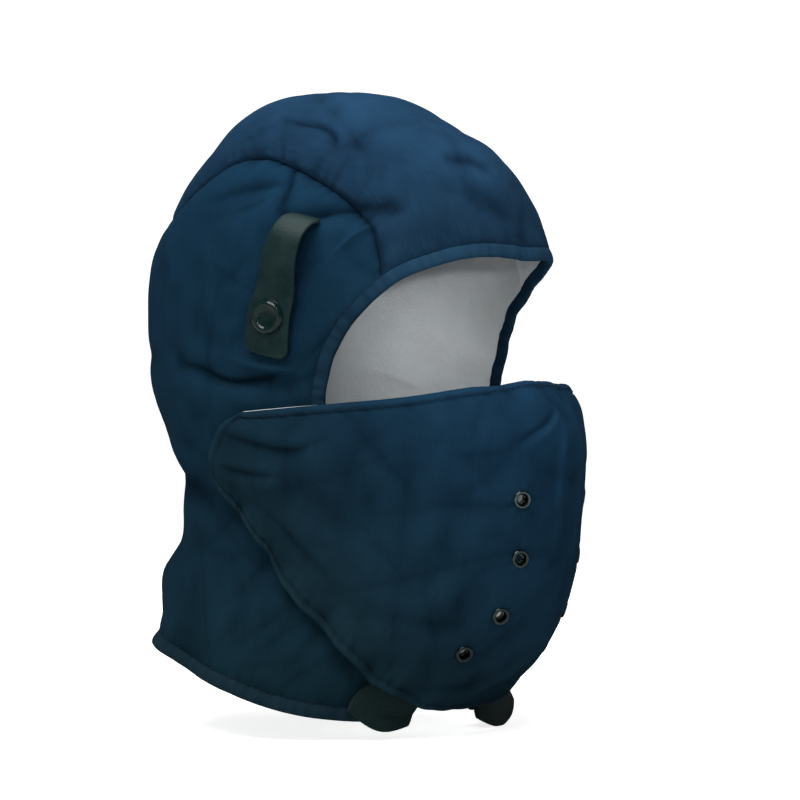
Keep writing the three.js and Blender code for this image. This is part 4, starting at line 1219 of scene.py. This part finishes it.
def fading_and_light_group(name):
    """Cloudy paling of dyed cloth, from broad and fine noise, and loose fibres.

    Masks of painted light: one grows towards the top of the hood, the other towards the front of the mask.
    """
    group, tree, clouds, result = new_group(name, "Clouds per metre", ("Cloud", "Fibre", "Rise", "Front"))
    place = tree.place()
    broad = tree.noise(place, clouds, detail=4.0, roughness=0.6)
    fine = tree.noise(place, tree.math("MULTIPLY", clouds, FINE_CLOUDS), detail=3.0, roughness=0.65)
    tree.put(result["Cloud"], tree.span(tree.weigh(broad, 0.7, fine, 0.3), low=0.32, high=0.68))
    tree.put(result["Fibre"], tree.noise(place, scale=2600.0, detail=2.0, roughness=0.7))
    parts = tree.add("ShaderNodeSeparateXYZ", {0: place}).outputs
    # Painted light: masks that grow towards the top of the hood, and towards the front of the mask with
    # height.
    rise = tree.span(parts[2], PAINTED_LIGHT_LOW, PAINTED_LIGHT_HIGH)
    front = tree.span(parts[1], PAINTED_LIGHT_SIDE, PAINTED_LIGHT_FRONT)
    tree.put(result["Rise"], rise)
    tree.put(result["Front"], tree.span(tree.weigh(front, FRONT_SHARE, rise, RISE_SHARE), FRONT_START, 1.0))
    return group


def shading_and_wear_group(name):
    """Painted shading of cloth: lighter on ridges and darker in valleys.

    Near the panels' edges a share shifts it: painted shade in the hood's seams, and on the mask's hems
    partly rubbing and partly painted highlight.
    """
    group, tree, share, result = new_group(name, "Edge share", ("Wear",))
    edge_shift = tree.math("MULTIPLY", tree.attribute("edge"), share)
    tree.put(result["Wear"], tree.math("ADD", tree.attribute("fold"), edge_shift, clamp=True))
    return group


def new_material(name):
    """Material with a Principled shader. Returns the material, its tree and the shader's inputs."""
    material = bpy.data.materials.new(name)
    material.use_nodes = True
    return material, Tree(material.node_tree), material.node_tree.nodes["Principled BSDF"].inputs


def finish(made, colour, roughness, bump=None, depth=0, **plain):
    """Give a new material its colour, roughness, bump of a depth in millimetres and plain values."""
    material, tree, shader = made
    tree.put(shader["Base Color"], colour)
    tree.put(shader["Roughness"], roughness)
    if bump is not None:
        inputs = {"Strength": 1.0, "Distance": depth * MM, "Height": bump}
        tree.put(shader["Normal"], tree.add("ShaderNodeBump", inputs).outputs[0])
    for key, value in plain.items():
        shader[key.replace("_", " ")].default_value = value
    return material


def cotton(name, dye, share, cloth, edge_shade_and_wear, light_tint=HOOD_LIGHT_TINT):
    """Woven cotton: cloudy dye, slubby threads and a soft nap.

    Painted light: lighter ridges, darker valleys and weave gaps, a shift near the edges, and a lighter, bluer
    top of the hood and front of the mask.
    """
    made = _, tree, _ = new_material(name)
    weave = tree.group("Cotton weave", weave_group, 1 / cloth.thread_pitch)
    fading_and_light = tree.group("Dye fading", fading_and_light_group, COTTON_CLOUDS)
    shading_and_wear = tree.group("Fold wear", shading_and_wear_group, edge_shade_and_wear)
    tone = tree.math("MULTIPLY_ADD", fading_and_light["Cloud"], *CLOUD_TONE)
    tone = tree.math("ADD", tone, tree.math("MULTIPLY_ADD", weave["Thread"], *THREAD_TONE))
    # Painted shade between the threads: the weave's lower parts are darker.
    tone = tree.math("ADD", tone, tree.math("MULTIPLY_ADD", weave["Height"], *WEAVE_SHADE))
    tone = tree.math("ADD", tone, shading_and_wear["Wear"], clamp=True)
    dyed = tree.mix(tone, *shades(dye, share, low=0.4, high=1.6))
    # Painted light: the colour is lighter and bluer where these masks are high, darker and less blue where
    # low.
    light_tinting = tree.mix(fading_and_light[light_tint.share], light_tint.low, light_tint.high)
    nap = tree.math("MULTIPLY", fading_and_light["Fibre"], NAP_SHARE)
    return finish(
        made, tree.mix(1.0, dyed, light_tinting, "MULTIPLY"), tree.spread(fading_and_light["Fibre"], low=0.8, high=0.98),
        tree.math("ADD", weave["Height"], nap), depth=0.08,
        Sheen_Weight=0.02, Sheen_Roughness=0.4, Sheen_Tint=(0.3, 0.6, 1, 1), Specular_IOR_Level=0.0)


def brushed_lining(cloth):
    """Pale brushed lining: a short uneven pile with a cloudy tone."""
    made = _, tree, _ = new_material("Brushed lining")
    fading_and_light = tree.group("Dye fading", fading_and_light_group, LINING_CLOUDS)
    pile = tree.noise(tree.place(), scale=750.0, detail=4.0, roughness=0.7)
    tone = tree.weigh(fading_and_light["Cloud"], 0.5, pile, 0.5)
    return finish(
        made, tree.mix(tone, *shades(cloth.lining_dye, 1, low=0.85, high=1.1)),
        tree.spread(pile, low=0.85, high=1.0), pile, depth=0.9,
        Sheen_Weight=0.35, Sheen_Roughness=0.6, Specular_IOR_Level=0.15)


def vinyl(trim):
    """Smooth black vinyl: a fine leather grain, a soft uneven shine and a painted highlight round the strap's
    bend.
    """
    made = _, tree, _ = new_material("Strap vinyl")
    place = tree.place()
    cells = tree.add("ShaderNodeTexVoronoi", {"Vector": place, "Scale": 1500.0}, feature="DISTANCE_TO_EDGE")
    grain = tree.span(cells.outputs["Distance"], low=0.0, high=0.25)
    cloud = tree.noise(place, scale=70.0, detail=4.0, roughness=0.6)
    tone = tree.math("ADD", tree.spread(cloud, low=0.0, high=0.25), tree.attribute("fold"), clamp=True)
    plain, highlighted = tinted(trim.vinyl, VINYL_SHARE), tinted(trim.vinyl, LIT_VINYL_SHARE)
    return finish(
        made, tree.mix(tone, plain, highlighted), tree.spread(cloud, low=0.24, high=0.36),
        tree.weigh(grain, 1.0, cloud, 2.5), depth=0.05, Specular_IOR_Level=0.08)


def enamel(trim):
    """Glossy black enamel on a pressed cap, with faint rubbing."""
    made = _, tree, _ = new_material("Snap enamel")
    place = tree.place()
    smear = tree.span(tree.noise(place, scale=420.0, detail=5.0, roughness=0.7), low=0.35, high=0.7)
    return finish(
        made, tree.mix(smear, *shades(trim.enamel, ENAMEL_SHARE, low=0.4, high=1)),
        tree.span(smear, to_low=0.07, to_high=0.18), tree.noise(place, scale=900.0), depth=0.012,
        Specular_IOR_Level=0.2)


def nickel(trim):
    """Dull nickel: tarnished in clouds, fine turning marks, painted shade in the hole and on the lower
    eyelets.
    """
    made = _, tree, shader = new_material("Eyelet nickel")
    place = tree.place()
    tarnish = tree.span(tree.noise(place, scale=350.0, detail=4.0, roughness=0.65), low=0.38, high=0.66)
    shade = tree.attribute("shade")
    metal = tree.mix(tarnish, *shades(trim.nickel, METAL_SHARE, low=1.5, high=0.35))
    tree.put(shader["Coat Weight"], tree.span(shade, to_low=0.8, to_high=0.0))
    return finish(
        made, tree.mix(shade, metal, tinted(trim.nickel, HOLE_SHADE_SHARE)),
        tree.span(tarnish, to_low=0.14, to_high=0.3), tree.noise(place, scale=2400.0), depth=0.015,
        Metallic=1.0, Coat_Roughness=0.08)


def felt(trim):
    """Black looped tape: a dense short pile with lighter loop tips."""
    made = _, tree, _ = new_material("Looped tape")
    place = tree.place()
    loops = tree.add("ShaderNodeTexVoronoi", {"Vector": place, "Scale": 1300.0}).outputs["Distance"]
    pile = tree.noise(place, scale=1600.0, detail=3.0, roughness=0.7)
    tip = tree.weigh(loops, 0.6, pile, 0.5)
    return finish(
        made, tree.mix(tip, *shades(trim.felt, FELT_SHARE, low=0.6, high=2)),
        tree.spread(pile, low=0.85, high=1.0), tip, depth=0.5,
        Sheen_Weight=0.04, Sheen_Roughness=0.5, Specular_IOR_Level=0.05)


def sewing_thread(sewing):
    """Twisted thread, a shade lighter than the cloth."""
    made = _, tree, _ = new_material("Sewing thread")
    twist = tree.noise(tree.place(), scale=2200.0)
    return finish(
        made, tree.mix(twist, *shades(sewing.colour, THREAD_SHARE, low=0.6, high=1.5)),
        tree.spread(twist, low=0.6, high=0.85), twist, depth=0.08, Specular_IOR_Level=0.1)


def pale_floor(stage):
    """Plain pale floor with a barely uneven matt finish."""
    made = _, tree, shader = new_material("Pale floor")
    cloud = tree.noise(tree.place(), scale=3.0)
    seen = tree.add("ShaderNodeLightPath").outputs["Is Camera Ray"]
    tree.put(shader["Emission Color"], tree.mix(seen, (0, 0, 0, 1), tinted(stage.floor, 1)))
    return finish(
        made, tree.mix(cloud, *shades(stage.floor, 1, low=0.99, high=1)),
        tree.spread(cloud, low=0.85, high=0.95), Specular_IOR_Level=0.0, Emission_Strength=stage.floor_glow)


def shared(name, make, given):
    """Material of a name. It is made where it is first used."""
    return bpy.data.materials.get(name) or make(given)


# Settings

def length(name, description, millimetres):
    """Property of a length that starts at a size in millimetres."""
    return bpy.props.FloatProperty(
        name=name, description=description, default=millimetres * MM, unit="LENGTH", precision=5)


def colour(name, description, shown):
    """Property of a colour that starts as a display colour."""
    return bpy.props.FloatVectorProperty(
        name=name, description=description, default=linear(shown), subtype="COLOR", min=0, max=1)


def number(name, description, value, unit="NONE"):
    """Property of a number, which is a plain one where no unit is given."""
    return bpy.props.FloatProperty(name=name, description=description, default=value, unit=unit)


class LinerCloth(bpy.types.PropertyGroup):
    """Sizes and dyes of the cloth."""
    wall: length("Hood cloth", "Thickness of the padded hood cloth", 2.4)
    mask_wall: length("Mask cloth", "Thickness of the mask's face cloth", 2.0)
    lining_wall: length("Mask lining", "Thickness of the mask's lining", 0.9)
    seam_pinch: length("Seam pinch", "How far the arched seams pull the cloth in", 2.2)
    binding_width: length("Face hem width", "Width of the rolled hem round the face", 6.4)
    binding_thickness: length("Face hem thickness", "Thickness of the rolled hem round the face", 3.6)
    hem_width: length("Neck hem width", "Width of the rolled hem of the cape", 6.9)
    hem_thickness: length("Neck hem thickness", "Thickness of the rolled hem of the cape", 3.4)
    thread_pitch: length("Thread pitch", "Distance between the threads of the weave", 0.62)
    # The crown's navy is lighter than the sides': painted top light.
    lit_crown_dye: colour("Crown dye", "Faded navy of the crown", SLOT_COLOURS["crown_cotton"])
    side_dye: colour("Side dye", "Navy of the sides and the cape", SLOT_COLOURS["side_cotton"])
    edge_dye: colour("Edge dye", "Navy of the rolled hems", SLOT_COLOURS["edge_cotton"])
    mask_dye: colour("Mask dye", "Navy of the mask", SLOT_COLOURS["mask_cotton"])
    lining_dye: colour("Lining dye", "Pale tone of the brushed linings", (0.78, 0.8, 0.81))


class LinerSewing(bpy.types.PropertyGroup):
    """Sizes and colour of the stitches."""
    length: length("Stitch length", "Length of one stitch", 2.4)
    pitch: length("Stitch pitch", "Distance from stitch to stitch", 3.1)
    thickness: length("Thread thickness", "Thickness of the sewing thread", 0.5)
    inset: length("Hem stitch inset", "Distance of the stitches from a rolled hem", 1.6)
    colour: colour("Thread colour", "Navy of the sewing thread", (0.15, 0.25, 0.35))


class LinerTrim(bpy.types.PropertyGroup):
    """Sizes and colours of the straps, snaps, eyelets and tabs."""
    strap_wall: length("Strap thickness", "Thickness of the vinyl straps", 1.6)
    tab_wall: length("Tab thickness", "Thickness of the chin tabs", 1.8)
    patch_wall: length("Patch thickness", "Thickness of the patches under the mask's ends", 1.6)
    vinyl: colour("Vinyl", "Black of the straps", SLOT_COLOURS["strap_vinyl"])
    enamel: colour("Enamel", "Black of the snaps", SLOT_COLOURS["snap_enamel"])
    nickel: colour("Nickel", "Metal of the eyelets", SLOT_COLOURS["eyelet_metal"])
    felt: colour("Looped tape", "Black of the tabs and patches", SLOT_COLOURS["tab_felt"])


class LinerStage(bpy.types.PropertyGroup):
    """Camera, floor and lights."""
    azimuth: number("Azimuth", "Camera's turn from the front, in degrees towards the wearer's right", 57)
    distance: length("Camera distance", "Distance of the camera from its target", 1500)
    view_width: length("View width", "Width of the picture at the target", 376.1)
    target: bpy.props.FloatVectorProperty(
        name="Target", description="Point that the camera looks at", subtype="TRANSLATION", unit="LENGTH",
        default=(0.01664, -0.02563, -0.1424))
    floor_radius: length("Floor radius", "Radius of the floor", 3500)
    floor_gap: length("Floor gap", "Gap between the liner and the floor", 1)
    floor: colour("Floor", "Tone of the floor", (0.9, 0.9, 0.9))
    floor_glow: number("Floor glow", "Light that the floor adds where the camera sees it", 0.97)
    key: number("Key light", "Power of the key light", 60, "POWER")
    fill: number("Fill light", "Power of the fill light", 7, "POWER")
    rim: number("Rim light", "Power of the rim light", 6, "POWER")
    sparkle: number("Sparkle", "Power of the small light that glints on metal", 5, "POWER")
    opening: number("Opening light", "Power of the spot light into the hood", 80, "POWER")
    sky: number("Sky", "Strength of the even light from all round", 0.26)


# Operators

class LINER_OT_crown(bpy.types.Operator):
    """Crown panel between the two arched seams"""
    bl_idname = "liner.crown"
    bl_label = "Crown"

    def execute(self, context):
        cloth = context.scene.liner_cloth
        lining = shared("Brushed lining", brushed_lining, cloth)
        materials = [cotton("Hood top cotton", cloth.lit_crown_dye, CROWN_SHARE, cloth, HOOD_EDGE_SHADE), lining]
        piece = cloth_piece("crown_cloth", crown_panel(cloth), materials, ["crown_panel"])
        return {"FINISHED"}


class LINER_OT_sides(bpy.types.Operator):
    """Side panels with the cape, and the stitches beside their hems"""
    bl_idname = "liner.sides"
    bl_label = "Sides and cape"

    def execute(self, context):
        cloth, sewing = context.scene.liner_cloth, context.scene.liner_sewing
        lining = shared("Brushed lining", brushed_lining, cloth)
        materials = [cotton("Side cotton", cloth.side_dye, SIDE_SHARE, cloth, HOOD_EDGE_SHADE), lining]
        for side, word in SIDE_NAMES.items():
            made = side_panel(cloth, side)
            piece = cloth_piece(f"side_cloth_{word}", made, materials, [f"side_panel_{word}"])
            sideways = np.swapaxes(made.outer, 0, 1), np.swapaxes(made.normal, 0, 1)
            lines = [
                inset_line(made.outer[::-1], made.normal[::-1], sewing.inset / MM),
                inset_line(*sideways, sewing.inset / MM)]
            sew(f"side_stitches_{word}", lines, sewing)
        return {"FINISHED"}


class LINER_OT_edges(bpy.types.Operator):
    """Rolled hems round the face and along the cape"""
    bl_idname = "liner.edges"
    bl_label = "Rolled hems"

    def execute(self, context):
        cloth = context.scene.liner_cloth
        # Lit and shaded copies of the hem cotton: painted light on the face hem, painted shade on the cape
        # hem.
        lit_face_cotton = cotton("Face hem cotton", cloth.edge_dye, LIT_FACE_HEM_SHARE, cloth, 0)
        shaded_cape_cotton = cotton("Cape hem cotton", cloth.edge_dye, SHADED_CAPE_HEM_SHARE, cloth, 0)
        angle, row = face_edge_run()
        rings, arc, shading_and_wear = edge_roll(
            angle, row, cloth.binding_width / MM, cloth.binding_thickness / MM, -1, cloth.wall / MM)
        # Painted shade on the face hem's cheek parts.
        shading_and_wear = shading_and_wear - CHEEK_SHADE * ease((np.abs(angle) - CHEEK_FROM) / CHEEK_OVER)
        roll_piece("face_hem", rings, arc, shading_and_wear, lit_face_cotton, "edge_cotton", ["face_binding"])
        angle, row = hem_run()
        lean = HEM_LEAN * bell(np.abs(angle) - HEM_LEAN_AT, HEM_LEAN_REACH)
        neck = edge_roll(angle, row, cloth.hem_width / MM, cloth.hem_thickness / MM, 1, cloth.wall / MM, lean)
        roll_piece("cape_hem", *neck, shaded_cape_cotton, "edge_cotton", ["neck_hem"])
        return {"FINISHED"}


class LINER_OT_mask(bpy.types.Operator):
    """Mask with its lining, its hem stitches and the fastening patches under its ends"""
    bl_idname = "liner.mask"
    bl_label = "Mask"

    def execute(self, context):
        cloth, sewing, trim = context.scene.liner_cloth, context.scene.liner_sewing, context.scene.liner_trim
        tape = shared("Looped tape", felt, trim)
        for side, word in SIDE_NAMES.items():
            cloth_piece(f"mask_patch_{word}", patch_panel(side, trim.patch_wall / MM), [tape],
                        [f"mask_fastener_{word}"])
        made, missing = pierce(mask_panel(cloth))
        material = cotton("Mask cotton", cloth.mask_dye, MASK_SHARE, cloth, MASK_EDGE_WEAR_AND_HIGHLIGHT, MASK_LIGHT_TINT)
        face = cloth_piece("mask_cloth", made, [material], ["mask_panel"], missing)
        lined, lining_missing = pierce(mask_lining(cloth))
        brushed = shared("Brushed lining", brushed_lining, cloth)
        lining = cloth_piece(
            "mask_lining_cloth", lined, [brushed], ["mask_lining"], lining_missing)
        lines = [
            inset_line(made.outer, made.normal, MASK_HEM),
            inset_line(made.outer[::-1], made.normal[::-1], MASK_HEM)]
        sew("mask_stitches", lines, sewing)
        return {"FINISHED"}


class LINER_OT_straps(bpy.types.Operator):
    """Vinyl straps that loop round a helmet's headband"""
    bl_idname = "liner.straps"
    bl_label = "Straps"

    def execute(self, context):
        trim = context.scene.liner_trim
        material = vinyl(trim)
        for side, word in SIDE_NAMES.items():
            made = strap_rings(side, trim.strap_wall / MM)
            roll_piece(f"strap_strip_{word}", *made, material, "strap_vinyl", [f"strap_{word}"])
        return {"FINISHED"}


class LINER_OT_snaps(bpy.types.Operator):
    """Snap caps on the straps and their sockets on the hood"""
    bl_idname = "liner.snaps"
    bl_label = "Snaps"

    def execute(self, context):
        trim = context.scene.liner_trim
        material = enamel(trim)
        for side, word in SIDE_NAMES.items():
            middle, _, outward = (values[0] for values in strap_frame(np.array([float(STRAP_SNAP)]), side))
            foot = middle + outward * (trim.strap_wall / MM)
            for node, profile, base in (("snap_cap", SNAP_CAP, foot), ("snap_socket", SNAP_SOCKET, middle)):
                points, faces = tube(turned(profile, base, outward, closed=False))
                name = f"{node}_{word}"
                new_piece(f"{name}_enamel", points, faces, [material], [name])
        return {"FINISHED"}


class LINER_OT_eyelets(bpy.types.Operator):
    """Breathing eyelets of the mask"""
    bl_idname = "liner.eyelets"
    bl_label = "Eyelets"

    def execute(self, context):
        material = nickel(context.scene.liner_trim)
        names = [f"{word}_{k + 1}" for word in SIDE_NAMES.values() for k in range(len(EYELETS["angle"]))]
        for name, foot, axis, tarnish in zip(names, *eyelet_stands(), np.tile(EYELETS["tarnish"], 2)):
            points, faces = tube(turned(EYELET, foot, axis, closed=True), closed=True)
            away = np.linalg.norm(np.cross(points - foot, axis), axis=-1)
            # Painted shade: dark inside the hole, and darker on the lower eyelets.
            shade = np.clip((EYELET_DARK - away) / EYELET_DARK_OVER, tarnish, 1)
            new_piece(f"eyelet_ring_{name}", points, faces, [material], [f"eyelet_{name}"],
                      values={"shade": shade})
        return {"FINISHED"}


class LINER_OT_tabs(bpy.types.Operator):
    """Chin tabs of looped tape on the cape's front corners"""
    bl_idname = "liner.tabs"
    bl_label = "Chin tabs"

    def execute(self, context):
        trim = context.scene.liner_trim
        tape = shared("Looped tape", felt, trim)
        for side, word in SIDE_NAMES.items():
            piece = cloth_piece(f"chin_tape_{word}", tab_panel(side, trim.tab_wall / MM), [tape],
                                [f"chin_tab_{word}"])
        return {"FINISHED"}


class LINER_OT_stage(bpy.types.Operator):
    """Camera, pale floor and soft lights"""
    bl_idname = "liner.stage"
    bl_label = "Stage"

    def execute(self, context):
        stage = context.scene.liner_stage
        turn = np.radians(stage.azimuth)
        target = Vector(stage.target)
        towards = Vector((-np.sin(turn), -np.cos(turn), 0))
        leftward = Vector((-np.cos(turn), np.sin(turn), 0))

        def place(up, left, forward):
            return target + Vector(UP) * up + leftward * left + towards * forward

        camera = bpy.data.cameras.new("camera")
        camera.sensor_width = SENSOR
        camera.lens = SENSOR * stage.distance / stage.view_width
        context.scene.camera = stand("camera", camera, place(0, 0, stage.distance), target)
        lay_floor(stage)
        for lamp in LAMPS:
            light = bpy.data.lights.new(lamp.name, "AREA")
            light.size = lamp.size
            light.energy = getattr(stage, lamp.setting)
            stand(lamp.name, light, place(lamp.up, lamp.left, lamp.towards), target)
        spot = bpy.data.lights.new(SPOT.name, "SPOT")
        spot.energy = stage.opening
        spot.spot_size = np.radians(SPOT_DEGREES)
        spot.spot_blend = 1.0
        spot.shadow_soft_size = SPOT.size
        stand(SPOT.name, spot, place(SPOT.up, SPOT.left, SPOT.towards), place(AIM_UP, AIM_LEFT, 0))
        world = bpy.data.worlds.new("even_light")
        world.use_nodes = True
        world.node_tree.nodes["Background"].inputs["Strength"].default_value = stage.sky
        world.node_tree.nodes["Background"].inputs["Color"].default_value = (1, 1, 1, 1)
        context.scene.world = world
        context.scene.view_settings.view_transform = "Standard"
        return {"FINISHED"}


def stand(name, data, place, aim):
    """Object of a camera or a light at a place, turned to an aim."""
    made = bpy.data.objects.new(name, data)
    made.location = place
    made.rotation_euler = (aim - place).to_track_quat("-Z", "Y").to_euler()
    bpy.context.collection.objects.link(made)
    return made


def lay_floor(stage):
    """Round floor whose rim sweeps up in a quarter circle: a profile turned about the upright axis."""
    level = CAD_BOX[0][2] - stage.floor_gap
    sweep = np.linspace(0, np.pi / 2, FLOOR_SWEEP)
    bend = stage.floor_radius / 3
    flat = np.linspace(FLOOR_START, 1, FLOOR_RINGS) * stage.floor_radius
    radius = np.concatenate([flat, stage.floor_radius + bend * np.sin(sweep)[1:]])[:, None]
    height = np.concatenate([0 * flat, bend * (1 - np.cos(sweep))[1:]])[:, None]
    cosine, sine = circle(FLOOR_SIDES)
    rings = np.stack(np.broadcast_arrays(radius * cosine, radius * sine, level + height), axis=-1)
    points, (quads, start, _) = tube(rings)
    mesh = bpy.data.meshes.new("floor")
    mesh.from_pydata(points[:-1].tolist(), [], [*quads.tolist(), *start.tolist()])
    mesh.shade_smooth()
    mesh.materials.append(pale_floor(stage))
    floor = bpy.data.objects.new("floor", mesh)
    bpy.context.collection.objects.link(floor)


def sew(name, lines, sewing):
    """One piece of all the stitches along some lines."""
    rows = [stitches(*line, sewing.length / MM, sewing.pitch / MM, sewing.thickness / MM) for line in lines]
    counts = np.cumsum([0] + [len(points) for points, _ in rows])
    faces = [part + first for (_, parts), first in zip(rows, counts) for part in parts]
    material = shared("Sewing thread", sewing_thread, sewing)
    return new_piece(name, np.concatenate([points for points, _ in rows]), faces, [material], [])


class LINER_PT_panel(bpy.types.Panel):
    """Sidebar panel with the liner's sizes and operators"""
    bl_label = "Winter liner"
    bl_idname = "LINER_PT_panel"
    bl_space_type = "VIEW_3D"
    bl_region_type = "UI"
    bl_category = "Liner"

    def draw(self, context):
        for name in SETTINGS:
            box = self.layout.box()
            settings = getattr(context.scene, name)
            for key in settings.__annotations__:
                box.prop(settings, key)
        for operator in OPERATORS:
            self.layout.operator(operator.bl_idname)


OPERATORS = (
    LINER_OT_crown, LINER_OT_sides, LINER_OT_edges, LINER_OT_mask, LINER_OT_straps, LINER_OT_snaps,
    LINER_OT_eyelets, LINER_OT_tabs, LINER_OT_stage)
SETTINGS = {
    "liner_cloth": LinerCloth, "liner_sewing": LinerSewing, "liner_trim": LinerTrim,
    "liner_stage": LinerStage}


def register():
    """Register the classes and put the settings on the scene."""
    for cls in (*SETTINGS.values(), *OPERATORS, LINER_PT_panel):
        bpy.utils.register_class(cls)
    for name, cls in SETTINGS.items():
        setattr(bpy.types.Scene, name, bpy.props.PointerProperty(type=cls))


def unregister():
    """Take the settings off the scene and unregister the classes."""
    for name in SETTINGS:
        delattr(bpy.types.Scene, name)
    for cls in reversed((*SETTINGS.values(), *OPERATORS, LINER_PT_panel)):
        bpy.utils.unregister_class(cls)


def main():
    register()
    bpy.ops.liner.crown()
    bpy.ops.liner.sides()
    bpy.ops.liner.edges()
    bpy.ops.liner.mask()
    bpy.ops.liner.straps()
    bpy.ops.liner.snaps()
    bpy.ops.liner.eyelets()
    bpy.ops.liner.tabs()
    bpy.ops.liner.stage()


if __name__ == "__main__":
    main()
